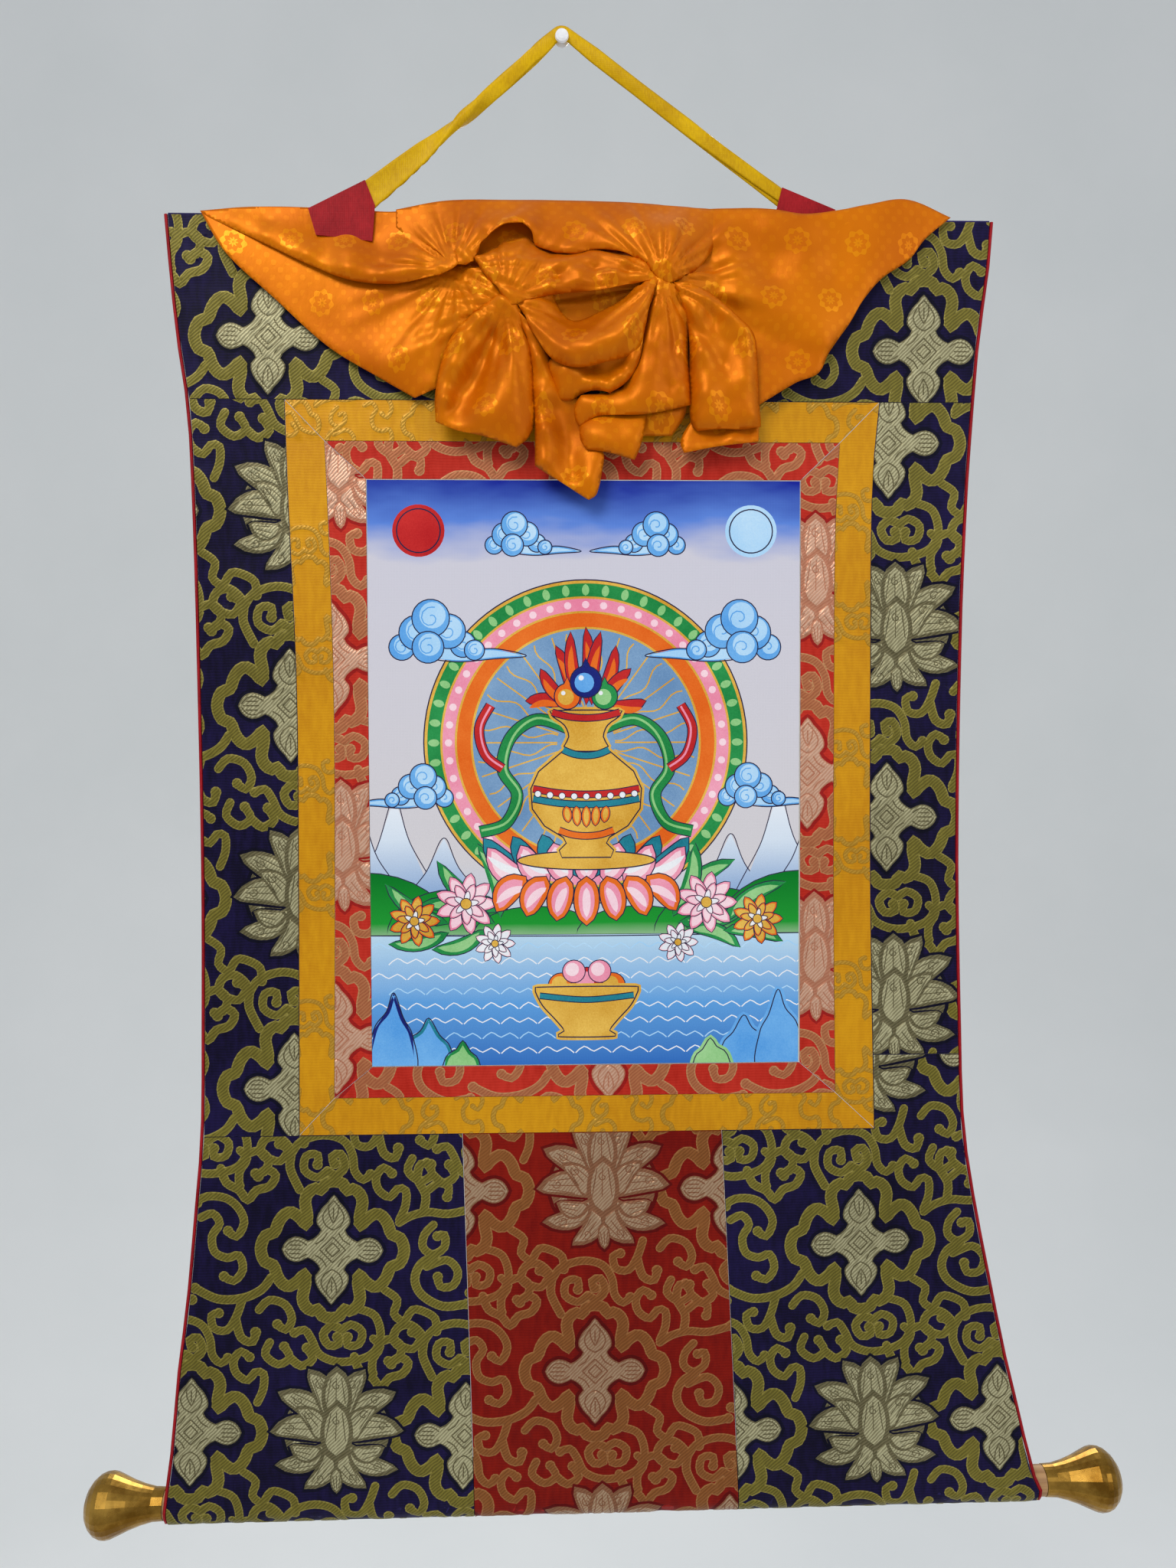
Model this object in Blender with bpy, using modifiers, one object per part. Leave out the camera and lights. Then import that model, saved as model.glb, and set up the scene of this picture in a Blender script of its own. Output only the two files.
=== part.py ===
"""A Himalayan scroll painting in its brocade mount, hung by a tape from a wall pin.

Metres, +Z up. The wall is the plane y = 0 and the scroll hangs on its -Y side.
The origin is the middle of the pin's flat back. Every cloth panel is a sheet of
one shared hanging surface, which leans out from the wall down to the roller.
"""

import math

import bmesh
import bpy
import numpy as np
from mathutils import Vector
from mathutils.geometry import delaunay_2d_cdt

MM = 0.001

# The hanging surface: where the middle of the cloth lies, from the header to the roller.
HEADER_TOP = -0.1175
HEADER_Y = -0.0050
CLOTH = 0.0015
SEAM_GAP = 0.0003
HEM_TURN = 0.018
HEM_Y = -0.0022

# The roller in the lower hem, and the knobs that keep it off the wall.
ROLLER_Y = -0.0225
ROLLER_Z = -1.0195
ROLLER_MIDDLE = 0.030
ROLLER_RISE = 0.005
ROLLER_RADIUS = 0.0105
ROLLER_ENDS = (-0.2870, 0.3475)
SLEEVE_RADIUS = 0.01175
SLEEVE_SEAM_UP = 0.026
SLEEVE_TURN = math.radians(226)
HEM_FLAP = 0.008

# The mount's side edges and seams: z, left x, right x, in mm.
SIDE_EDGES = (
    (-117, -268.0, 296.0), (-150, -265.5, 293.5), (-200, -261.0, 287.0),
    (-250, -254.5, 283.0), (-310, -252.0, 279.0), (-400, -250.5, 275.5),
    (-560, -250.0, 275.0), (-680, -251.0, 278.0), (-750, -252.5, 281.0),
    (-810, -258.0, 290.0), (-870, -264.0, 302.0), (-920, -271.0, 313.0),
    (-970, -276.0, 325.5), (-1000, -280.0, 332.0), (-1020, -283.0, 340.0),
    (-1060, -283.5, 341.0),
)
GOLD_EDGES = (
    (-243, -190.5, 219.5), (-300, -189.2, 214.8), (-440, -184.5, 214.2),
    (-585, -184.8, 214.9), (-752, -186.3, 218.6),
)
RED_EDGES = (
    (-271, -163.6, 191.8), (-330, -161.5, 189.0), (-440, -159.1, 188.5),
    (-585, -159.8, 188.8), (-726, -161.6, 190.6),
)
PICTURE_EDGES = ((-297, -135.5, 164.5), (-704, -135.0, 165.0))
CENTRE_EDGES = ((-752, -72.7, 110.1), (-1020, -66.0, 122.5), (-1060, -66.0, 122.5))
LEFT_STRIP_FOOT = -752
RIGHT_STRIP_FOOT = -699

# Soft swells of the whole surface: x, z, reach across, reach down, stand, in mm.
SWELLS = (
    (15, -500, 110, 150, 2.0), (-222, -420, 22, 80, 1.6), (-252, -560, 16, 120, -2.2),
    (246, -600, 22, 90, 2.0), (276, -400, 15, 110, 2.4), (-215, -880, 50, 45, 1.8),
    (30, -860, 60, 70, 1.5), (235, -900, 45, 50, -1.6), (305, -840, 20, 60, 2.2),
)

PIPING_RADIUS = 0.0009
CORD_RADIUS = 0.0012
CORD_SIDES = 1

# The wall pin: a turned flange, shank and head, from the wall outwards.
PIN_PROFILE = (
    (0.0000, 0.0044), (0.0010, 0.0045), (0.0013, 0.0016), (0.0056, 0.0016),
    (0.0060, 0.0040), (0.0074, 0.0047), (0.0090, 0.0042), (0.0098, 0.0026),
)

# A brass knob, from its neck at the roller to its domed end: distance, radius.
KNOB_PROFILE = (
    (0.0000, 0.0108), (0.0080, 0.0112), (0.0160, 0.0132), (0.0240, 0.0160),
    (0.0310, 0.0191), (0.0360, 0.0212), (0.0395, 0.0219), (0.0430, 0.0216),
    (0.0468, 0.0200), (0.0505, 0.0168), (0.0535, 0.0124), (0.0553, 0.0075),
)
KNOB_LENGTH = 0.0562

# The hanging tape, bunched over the pin's shank: its legs run to the two tabs.
TAPE_THICK = 0.0014
TAPE_TURN_RADIUS = 0.0047
TAPE_FEET = ((-0.152, -0.1235), (0.166, -0.1165))
TAPE_PIN_Y = -0.0036
TAPE_STANDS = (0.0034, 0.00105)
TAPE_SAGS = (0.0025, 0.0006)
# Distance from the pin as a share of the leg, width in mm, roll in degrees.
TAPE_LEGS = (
    ((0.00, 5.5, 0), (0.04, 6.5, 0), (0.12, 10.5, 8), (0.33, 11.5, 14),
     (0.48, 9.0, 22), (0.62, 14.0, 8), (0.85, 16.5, 0), (1.00, 20.0, 0)),
    ((0.00, 5.5, 0), (0.04, 6.5, 0), (0.12, 9.0, 16), (0.30, 8.5, 24),
     (0.55, 10.0, 10), (0.80, 10.5, 0), (1.00, 12.0, 0)),
)

TAB_THICK = 0.0012
LEFT_TAB = ((-172, -116.5), (-133.5, -97.5), (-127, -114), (-129, -138), (-167, -134))
RIGHT_TAB = ((150.5, -98.5), (187.5, -113), (183, -124), (150, -124), (146.5, -114))
TAB_STANDS = (0.0050, 0.00265)

# The veil's outline, clockwise from its left tip: x, z, stand off the mount, in mm.
VEIL_OUTLINE = (
    (-245, -118, 2.4), (-210, -115, 2.4), (-172, -115, 2.4), (-128, -117, 2.4),
    (-112, -117, 2.6), (-81, -111, 3), (-8, -110, 4), (29, -109.5, 4),
    (76, -111, 5), (118, -114, 6), (143, -115, 8.2), (165, -118, 8.6),
    (190, -115, 8.4), (208, -111, 7), (236, -107, 6), (267, -118, 4),
    (249, -133, 5), (238, -147, 5.5), (219, -160, 6), (206, -175, 7),
    (197, -190, 8), (182, -211, 9), (175, -225, 9), (159, -232, 10),
    (133, -248, 12), (134, -274, 16), (103, -276, 18), (85, -281, 16),
    (80, -266, 14), (54, -267, 13), (49, -285, 16), (27, -282, 15),
    (23, -307, 14), (20, -312, 14), (1, -304, 15), (-19, -290, 14),
    (-19, -261, 12), (-32, -276, 16), (-67, -268, 18), (-86, -260, 16),
    (-85, -237, 12), (-101, -243, 6), (-122, -231, 6), (-159, -209, 5),
    (-197, -175, 5), (-228, -146, 5),
)
# Each fold of the veil is a ridge or a valley, as points of x, z, stand, in mm.
VEIL_FOLDS = {
    "flat under the tab": ((-171, -125, 2.4), (-129, -128, 2.4)),
    "flat at the tab's foot": ((-168, -134, 2.4), (-129, -138, 2.4)),
    "rolled edge, upper ridge": ((-225, -125, 6), (-184, -135, 9), (-145, -146, 13), (-102, -150, 18), (-73, -159, 22)),
    "rolled edge, crease": ((-158, -151, 8), (-122, -155, 10), (-92, -157, 15)),
    "rolled edge, lower ridge": ((-173, -149, 8), (-145, -160, 14), (-121, -163, 16), (-98, -160, 18)),
    "below the rolled edge": ((-225, -137, 5), (-171, -158, 5.5), (-146, -169, 6), (-122, -171, 6), (-98, -168, 7), (-76, -166, 9)),
    "band pulled to the left knot": ((-79, -125, 6), (-75, -143, 14), (-72, -158, 22)),
    "left wing, long ridge": ((-43, -174, 24), (-70, -194, 16), (-94, -211, 11), (-123, -225, 8)),
    "left wing, hollow": ((-70, -170, 11), (-91, -183, 7.5), (-156, -197, 5.5)),
    "between wing and left lobe": ((-39, -180, 18), (-74, -202, 8), (-84, -222, 6)),
    "left lobe, outer ridge": ((-44, -183, 26), (-58, -203, 24), (-75, -229, 22), (-80, -246, 20)),
    "left lobe, crease": ((-35, -186, 20), (-48, -206, 15), (-62, -234, 13), (-76, -247, 13), (-75, -258, 14)),
    "left lobe, inner ridge": ((-33, -190, 24), (-39, -216, 22), (-44, -246, 20), (-42, -266, 18)),
    "beside the left lobe": ((-25, -200, 14), (-21, -228, 11), (-19, -257, 10)),
    "long tail, ridge": ((-26, -193, 24), (-15, -216, 21), (-13, -250, 17), (-13, -286, 16)),
    "long tail, hollow": ((-9, -225, 12), (-5, -250, 8), (-1, -290, 9)),
    "long tail, right side": ((14, -290, 13), (15, -307, 16)),
    "header band, lower lip": ((-59, -154, 20), (-48, -144, 20), (-27, -133, 18), (-21, -138, 16), (-8, -147, 18), (18, -142, 18), (48, -149, 22), (60, -160, 26)),
    "under the band's lip": ((-55, -158, 12), (-45, -149, 8), (-26, -138, 6), (-14, -149, 9), (8, -152, 12), (22, -147, 12), (46, -154, 14), (58, -164, 20)),
    "hanging fold right of the middle": ((65, -120, 10), (74, -140, 26), (76, -157, 28), (71, -168, 26)),
    "that fold's right side": ((101, -124, 8), (100, -141, 12), (96, -154, 15), (80, -168, 18)),
    "bow, upper ridge": ((-58, -159, 18), (-39, -156, 18), (-8, -160, 20), (28, -158, 20), (58, -165, 26)),
    "bow, crease": ((-27, -177, 20), (2, -165, 15), (33, -162, 17)),
    "bow, lower lip": ((-32, -183, 28), (-14, -173, 26), (18, -169, 25), (56, -166, 27)),
    "opening under the bow": ((-3, -176, 10), (32, -174, 10), (3, -187, 12)),
    "loop, front ridge": ((-22, -189, 28), (-6, -203, 31), (4, -220, 33), (24, -210, 36), (43, -194, 35), (62, -172, 30)),
    "under the loop's ridge": ((4, -228, 18), (22, -226, 16), (40, -222, 16), (54, -203, 18)),
    "loop, lower ridge": ((11, -231, 24), (24, -241, 26), (38, -234, 26), (50, -212, 24)),
    "loop, foot": ((-12, -222, 20), (-9, -242, 17), (3, -245, 16), (14, -243, 16)),
    "right lobe, ridge": ((65, -172, 26), (63, -196, 25), (60, -226, 23), (56, -248, 20)),
    "right lobe, hem": ((11, -262, 16), (18, -257, 20), (50, -254, 20), (74, -252, 20), (84, -249, 18)),
    "under the right lobe's hem": ((16, -264, 12), (30, -260, 12), (52, -260, 12), (78, -257, 11)),
    "beside the right lobe": ((76, -178, 18), (83, -207, 14), (88, -236, 12)),
    "outer lobe, left ridge": ((83, -181, 26), (90, -207, 23), (95, -235, 21), (97, -262, 20)),
    "outer lobe, right ridge": ((124, -200, 22), (129, -222, 20), (130, -250, 18)),
    "outer lobe, rolled top": ((76, -172, 28), (86, -178, 28), (104, -188, 27), (121, -202, 25)),
    "over the outer lobe": ((80, -163, 18), (92, -163, 14), (115, -180, 9), (129, -195, 8), (141, -203, 7.5), (162, -214, 7.5)),
    "right wing, first ridge": ((87, -160, 20), (100, -166, 16), (138, -170, 12), (186, -174, 10)),
    "right wing, second ridge": ((88, -157, 18), (117, -153, 13), (170, -147, 10), (218, -143, 7.5)),
    "right wing, third ridge": ((93, -166, 18), (117, -178, 14), (143, -188, 13), (172, -201, 12)),
    "right wing, hollows": ((102, -159, 10), (139, -160, 7.5), (186, -158, 7)),
    "right wing, upper hollow": ((104, -146, 10), (128, -139, 8), (181, -130, 8)),
}
VEIL_THICK = 0.0020
VEIL_CELL = 2.5
VEIL_RELAX_STEPS = 700
VEIL_SPACING = 9.0
VEIL_EDGE_SPACING = 7.0
VEIL_CLOSEST = 4.5


def material(name, colour, roughness, metallic=0.0):
    made = bpy.data.materials.new(name)
    made.use_nodes = True
    shader = made.node_tree.nodes["Principled BSDF"]
    shader.inputs["Base Color"].default_value = (*colour, 1.0)
    shader.inputs["Roughness"].default_value = roughness
    shader.inputs["Metallic"].default_value = metallic
    return made


def between(rows, z):
    """Left and right x in metres at height z, read smoothly from a table in mm."""
    rows = sorted(rows)
    height = min(max(z / MM, rows[0][0]), rows[-1][0])
    i = max(k for k in range(len(rows) - 1) if rows[k][0] <= height)
    low, high = rows[i], rows[i + 1]
    before, after = rows[max(i - 1, 0)], rows[min(i + 2, len(rows) - 1)]
    span = high[0] - low[0]
    t = (height - low[0]) / span
    found = []
    for k in (1, 2):
        slope_low = (high[k] - before[k]) / (high[0] - before[0])
        slope_high = (after[k] - low[k]) / (after[0] - low[0])
        found.append(MM * (
            (2 * t ** 3 - 3 * t ** 2 + 1) * low[k] + (t ** 3 - 2 * t ** 2 + t) * span * slope_low
            + (3 * t ** 2 - 2 * t ** 3) * high[k] + (t ** 3 - t ** 2) * span * slope_high
        ))
    return found


def roller_height(x):
    return ROLLER_Z + ROLLER_RISE * (x - ROLLER_MIDDLE)


def swell(x, z):
    return sum(
        MM * stand * math.exp(-((x / MM - cx) / rx) ** 2 - ((z / MM - cz) / rz) ** 2)
        for cx, cz, rx, rz, stand in SWELLS
    )


def cloth_y(x, z):
    """The middle of the cloth at a place on the mount."""
    drop = (HEADER_TOP - z) / (HEADER_TOP - ROLLER_Z)
    straight = HEADER_Y + (ROLLER_Y - SLEEVE_RADIUS - HEADER_Y) * min(max(drop, 0.0), 1.0)
    return straight - swell(x, z)


def front_y(x, z):
    return cloth_y(x, z) - CLOTH / 2


def add_to(group, mesh_name, mesh, finish):
    made = bpy.data.objects.new(mesh_name, mesh)
    made.data.materials.append(finish)
    group.objects.link(made)
    return made


def inset_edges(mesh, distance):
    """Draws a sheet's free edges in by a distance, inside its own faces."""
    moves = {}
    for edge in mesh.edges:
        if len(edge.link_faces) == 1:
            along = (edge.verts[1].co - edge.verts[0].co).normalized()
            inward = edge.link_faces[0].calc_center_median() - edge.verts[0].co
            inward = (inward - inward.dot(along) * along).normalized()
            for vert in edge.verts:
                moves.setdefault(vert, []).append(inward)
    for vert, normals in moves.items():
        total = sum(normals, Vector())
        if len(normals) == 2:
            total /= 1.0 + normals[0].dot(normals[1])
        vert.co += distance * total


def sheet(group, name, rows, finish, thick=CLOTH, gap=SEAM_GAP):
    """A cloth panel from rows of points down its middle surface; None leaves a gap in a row."""
    mesh = bmesh.new()
    verts = [[mesh.verts.new(p) if p is not None else None for p in row] for row in rows]
    for upper, lower in zip(verts, verts[1:]):
        for i in range(len(upper) - 1):
            corners = (upper[i], lower[i], lower[i + 1], upper[i + 1])
            if None not in corners:
                mesh.faces.new(corners)
    bmesh.ops.recalc_face_normals(mesh, faces=mesh.faces)
    inset_edges(mesh, gap / 2)
    data = bpy.data.meshes.new(name)
    mesh.to_mesh(data)
    mesh.free()
    made = add_to(group, name, data, finish)
    solid = made.modifiers.new("thickness", "SOLIDIFY")
    solid.thickness = thick
    solid.offset = 0.0
    solid.use_even_offset = True
    return made


def steps(first, last, count):
    return [first + (last - first) * i / count for i in range(count + 1)]


def on_mount(x, z):
    return (x, cloth_y(x, z), z)


def strip_rows(heights, left, right, columns):
    """Points between two edge lines, each a function of z."""
    return [[on_mount(x, z) for x in steps(left(z), right(z), columns)] for z in heights]


def border(group, name, outer, inner, finish):
    """Four mitred strips between two outlines, each a table of z, left x and right x."""
    top_out, foot_out = outer[0][0] * MM, outer[-1][0] * MM
    top_in, foot_in = inner[0][0] * MM, inner[-1][0] * MM
    for side, column in (("left", 0), ("right", 1)):
        rows = []
        for t in steps(0.0, 1.0, 14):
            z_out = top_out + (foot_out - top_out) * t
            z_in = top_in + (foot_in - top_in) * t
            x_out, x_in = between(outer, z_out)[column], between(inner, z_in)[column]
            row = [(x_out + (x_in - x_out) * s, z_out + (z_in - z_out) * s) for s in (0, 0.5, 1)]
            rows.append([on_mount(x, z) for x, z in row])
        sheet(group, f"{name}_{side}", rows, finish)
    for side, z_out, z_in in (("top", top_out, top_in), ("bottom", foot_out, foot_in)):
        (a, b), (c, d) = between(outer, z_out), between(inner, z_in)
        rows = []
        for s in (0, 0.5, 1):
            first, last, z = a + (c - a) * s, b + (d - b) * s, z_out + (z_in - z_out) * s
            rows.append([on_mount(x, z) for x in steps(first, last, 12)])
        sheet(group, f"{name}_{side}", rows, finish)


def tube(group, name, points, radius, finish):
    """A cord along points, as a bevelled curve with closed ends."""
    curve = bpy.data.curves.new(name, "CURVE")
    curve.dimensions = "3D"
    curve.bevel_depth = radius
    curve.bevel_resolution = CORD_SIDES
    curve.use_fill_caps = True
    spline = curve.splines.new("POLY")
    spline.points.add(len(points) - 1)
    for place, point in zip(spline.points, points):
        place.co = (*point, 1.0)
    return add_to(group, name, curve, finish)


def turned(group, name, profile, finish, side_count):
    """A turned solid about its own Z, from (distance, radius) pairs; both ends close on the axis."""
    mesh = bmesh.new()
    outline = [(0.0, profile[-1][0])] + [(r, d) for d, r in reversed(profile)] + [(0.0, profile[0][0])]
    if profile is KNOB_PROFILE:
        outline[0] = (0.0, KNOB_LENGTH)
    verts = [mesh.verts.new((r, 0.0, d)) for r, d in outline]
    for a, b in zip(verts, verts[1:]):
        mesh.edges.new((a, b))
    data = bpy.data.meshes.new(name)
    mesh.to_mesh(data)
    mesh.free()
    made = add_to(group, name, data, finish)
    screw = made.modifiers.new("turning", "SCREW")
    screw.steps = screw.render_steps = side_count
    screw.use_merge_vertices = True
    screw.merge_threshold = 0.00001
    return made


def sleeve_point(x, turn):
    """The cloth round the roller: 0 is the front, growing under the roller and up behind it."""
    angle = math.pi + turn
    return (
        x,
        ROLLER_Y + SLEEVE_RADIUS * math.cos(angle),
        roller_height(x) + SLEEVE_RADIUS * math.sin(angle),
    )


def skirt_rows(heights, left, right, columns):
    """A lower panel: down the front, round the roller and up to its sleeve seam."""
    rows = []
    for z in heights:
        rows.append([on_mount(x, z) for x in steps(left(z), right(z), columns)])
    foot = ROLLER_Z
    across = steps(left(foot), right(foot), columns)
    for turn in steps(0.0, SLEEVE_TURN, 11):
        rows.append([sleeve_point(x, turn) for x in across])
    for up in (SLEEVE_SEAM_UP, SLEEVE_SEAM_UP + HEM_FLAP):
        rows.append([
            (x, cloth_y(x, roller_height(x) + up) + CLOTH + 0.0009, roller_height(x) + up)
            for x in steps(left(foot + up), right(foot + up), columns)
        ])
    return rows


def header(group, finish):
    """The header, with its top hem turned over to the back."""
    turn = (HEM_Y - HEADER_Y) / 2
    ridge = HEADER_TOP - turn - CLOTH / 2
    seam = GOLD_EDGES[0][0] * MM
    profile = [(HEM_Y, ridge - HEM_TURN), (HEM_Y, ridge)]
    profile += [
        (HEM_Y - turn + turn * math.cos(a), ridge + turn * math.sin(a))
        for a in (math.pi / 4, math.pi / 2, 3 * math.pi / 4)
    ]
    rows = []
    for y, z in profile:
        left, right = between(SIDE_EDGES, z)
        rows.append([(x, y, z) for x in steps(left, right, 20)])
    left, right = (lambda z: between(SIDE_EDGES, z)[0]), (lambda z: between(SIDE_EDGES, z)[1])
    rows += strip_rows(steps(ridge, seam, 7), left, right, 20)
    sheet(group, "header", rows, finish)


def side_strips(group, finish):
    seam = GOLD_EDGES[0][0] * MM
    left = strip_rows(
        steps(seam, LEFT_STRIP_FOOT * MM, 22),
        lambda z: between(SIDE_EDGES, z)[0], lambda z: between(GOLD_EDGES, z)[0], 3,
    )
    right = strip_rows(
        steps(seam, RIGHT_STRIP_FOOT * MM, 20),
        lambda z: between(GOLD_EDGES, z)[1], lambda z: between(SIDE_EDGES, z)[1], 3,
    )
    sheet(group, "side_left", left, finish)
    sheet(group, "side_right", right, finish)


def lower_panels(group, navy, red):
    seam = GOLD_EDGES[-1][0] * MM
    near_roller = ROLLER_Z + 0.012
    heights = steps(seam, near_roller, 10)
    edge_left = lambda z: between(SIDE_EDGES, z)[0]
    edge_right = lambda z: between(SIDE_EDGES, z)[1]
    centre_left = lambda z: between(CENTRE_EDGES, z)[0]
    centre_right = lambda z: between(CENTRE_EDGES, z)[1]
    sheet(group, "lower_left", skirt_rows(heights, edge_left, centre_left, 8), navy)
    sheet(group, "lower_centre", skirt_rows(heights, centre_left, centre_right, 7), red)

    # The right panel reaches up beside the gold border to a higher seam.
    gold_right = lambda z: between(GOLD_EDGES, z)[1]
    inner = skirt_rows(heights, centre_right, gold_right, 5)
    outer = skirt_rows(heights, gold_right, edge_right, 4)
    rows = [a[:-1] + b for a, b in zip(inner, outer)]
    for z in reversed(steps(RIGHT_STRIP_FOOT * MM, seam, 2)[:-1]):
        beside = [on_mount(x, z) for x in steps(gold_right(z), edge_right(z), 4)]
        rows.insert(0, [None] * 5 + beside)
    sheet(group, "lower_right", rows, navy)


def picture(group, painted, cream):
    (top, left, right), (foot, foot_left, foot_right) = PICTURE_EDGES
    edge = lambda k: (lambda z: between(PICTURE_EDGES, z)[k])
    rows = strip_rows(steps(top * MM, foot * MM, 8), edge(0), edge(1), 6)
    sheet(group, "picture_panel", rows, painted)
    reach = SEAM_GAP / 2 + PIPING_RADIUS
    corners = {
        "top": ((left * MM - 2 * reach, top * MM + reach), (right * MM + 2 * reach, top * MM + reach)),
        "bottom": ((foot_left * MM - 2 * reach, foot * MM - reach), (foot_right * MM + 2 * reach, foot * MM - reach)),
        "left": ((left * MM - reach, top * MM - SEAM_GAP / 2), (foot_left * MM - reach, foot * MM + SEAM_GAP / 2)),
        "right": ((right * MM + reach, top * MM - SEAM_GAP / 2), (foot_right * MM + reach, foot * MM + SEAM_GAP / 2)),
    }
    for side, ((x0, z0), (x1, z1)) in corners.items():
        points = [on_mount(x, z) for x, z in zip(steps(x0, x1, 8), steps(z0, z1, 8))]
        tube(group, f"picture_piping_{side}", points, PIPING_RADIUS, cream)


def edge_cords(group, crimson):
    """A thin cord sewn along each side edge, from the header down to the roller."""
    out = CORD_RADIUS + SEAM_GAP / 2
    for side, column, sign in (("left", 0, -1), ("right", 1, 1)):
        points = []
        for z in steps(HEADER_TOP - 0.0015, ROLLER_Z + 0.012, 30):
            x = between(SIDE_EDGES, z)[column] + sign * out
            points.append(on_mount(x, z))
        x = between(SIDE_EDGES, ROLLER_Z)[column] + sign * out
        points += [sleeve_point(x, turn) for turn in steps(0.0, math.pi / 2, 4)]
        tube(group, f"edge_cord_{side}", points, CORD_RADIUS, crimson)


def roller(group, wood, brass):
    axis = Vector((1.0, 0.0, ROLLER_RISE)).normalized()
    first, last = ROLLER_ENDS
    start = Vector((first, ROLLER_Y, roller_height(first)))
    end = Vector((last, ROLLER_Y, roller_height(last)))
    bpy.ops.mesh.primitive_cylinder_add(
        vertices=28, radius=ROLLER_RADIUS, depth=(end - start).length - 2 * SEAM_GAP,
        location=(start + end) / 2,
    )
    rod = bpy.context.object
    rod.name = rod.data.name = "roller"
    rod.rotation_mode = "QUATERNION"
    rod.rotation_quaternion = axis.to_track_quat("Z", "Y")
    rod.data.materials.append(wood)
    for owner in rod.users_collection:
        owner.objects.unlink(rod)
    group.objects.link(rod)
    for name, place, away in (("knob_left", start, -axis), ("knob_right", end, axis)):
        knob = turned(group, name, KNOB_PROFILE, brass, 26)
        knob.location = place
        knob.rotation_mode = "QUATERNION"
        knob.rotation_quaternion = away.to_track_quat("Z", "Y")


def tabs(group, crimson):
    """Two stitched tabs over the tape's ends, each a small folded piece of cloth."""
    for name, outline, stand in (
        ("tab_left", LEFT_TAB, TAB_STANDS[0]), ("tab_right", RIGHT_TAB, TAB_STANDS[1]),
    ):
        mesh = bmesh.new()
        ring = []
        for x, z in outline:
            x, z = x * MM, z * MM
            ring.append(mesh.verts.new((x, front_y(x, z) - stand, z)))
        mesh.faces.new(ring)
        bmesh.ops.triangulate(mesh, faces=mesh.faces)
        data = bpy.data.meshes.new(name)
        mesh.to_mesh(data)
        mesh.free()
        made = add_to(group, name, data, crimson)
        solid = made.modifiers.new("thickness", "SOLIDIFY")
        solid.thickness = TAB_THICK
        solid.offset = 0.0


def read_row(rows, share):
    """Width and roll at a share of a leg, eased between the table's rows."""
    for low, high in zip(rows, rows[1:]):
        if share <= high[0]:
            t = (share - low[0]) / (high[0] - low[0])
            t = t * t * (3 - 2 * t)
            return [low[k] + (high[k] - low[k]) * t for k in (1, 2)]
    return rows[-1][1:]


def hanging_tape(group, yellow):
    """One tape from tab to tab, bunched behind the pin's head and wide at the tabs."""
    legs = []
    for (x, z), rows, stand, sag, sign in zip(TAPE_FEET, TAPE_LEGS, TAPE_STANDS, TAPE_SAGS, (-1, 1)):
        foot = Vector((x, z))
        distance = foot.length
        lean = math.atan2(-foot.y, abs(foot.x)) - math.asin(TAPE_TURN_RADIUS / distance)
        touch = TAPE_TURN_RADIUS * Vector((sign * math.sin(lean), math.cos(lean)))
        leg = []
        for s in (0.0, 0.02, 0.04, 0.06, 0.08, 0.11, 0.15, 0.2, 0.27, 0.35, 0.43, 0.51, 0.6, 0.7, 0.8, 0.9, 1.0):
            outward = Vector((sign * math.sin(lean), math.cos(lean)))
            place = touch + (foot - touch) * s - outward * sag * 4 * s * (1 - s)
            foot_y = front_y(x, z) - stand
            ease = s * s * (3 - 2 * s)
            level = TAPE_PIN_Y + (foot_y - TAPE_PIN_Y) * ease
            if place.y < HEADER_TOP:
                level = front_y(place.x, place.y) - stand
            leg.append((place, outward, level, *read_row(rows, s)))
        legs.append((lean, leg))
    (left_lean, left), (right_lean, right) = legs
    over = []
    for angle in steps(-left_lean, right_lean, 8)[1:-1]:
        outward = Vector((math.sin(angle), math.cos(angle)))
        over.append((TAPE_TURN_RADIUS * outward, outward, TAPE_PIN_Y, *TAPE_LEGS[0][0][1:]))
    rows = []
    for place, outward, level, width, roll in list(reversed(left)) + over + right:
        roll = math.radians(roll)
        row = []
        for across in (-0.5, -0.17, 0.17, 0.5):
            reach = across * width * MM
            flat = place + outward * reach * math.cos(roll)
            row.append((flat.x, level - reach * math.sin(roll), flat.y))
        rows.append(row)
    sheet(group, "hanging_tape", rows, yellow, thick=TAPE_THICK, gap=0.0)


def inside(x, z, outline):
    """Whether points lie inside an outline, by counting the edges to their right."""
    found = np.zeros(np.shape(x), bool)
    for (x0, z0, _), (x1, z1, _) in zip(outline, outline[1:] + outline[:1]):
        if z0 != z1:
            crossing = (z0 > z) != (z1 > z)
            found ^= crossing & (x < (x1 - x0) * (z - z0) / (z1 - z0) + x0)
    return found


def along(points, spacing):
    """Points about a spacing apart on a line of x, z, stand."""
    line = []
    for a, b in zip(points, points[1:]):
        a, b = np.array(a, float), np.array(b, float)
        count = max(1, round(float(np.hypot(*(b - a)[:2])) / spacing))
        line += [a + (b - a) * i / count for i in range(count)]
    return line + [np.array(points[-1], float)]


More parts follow.
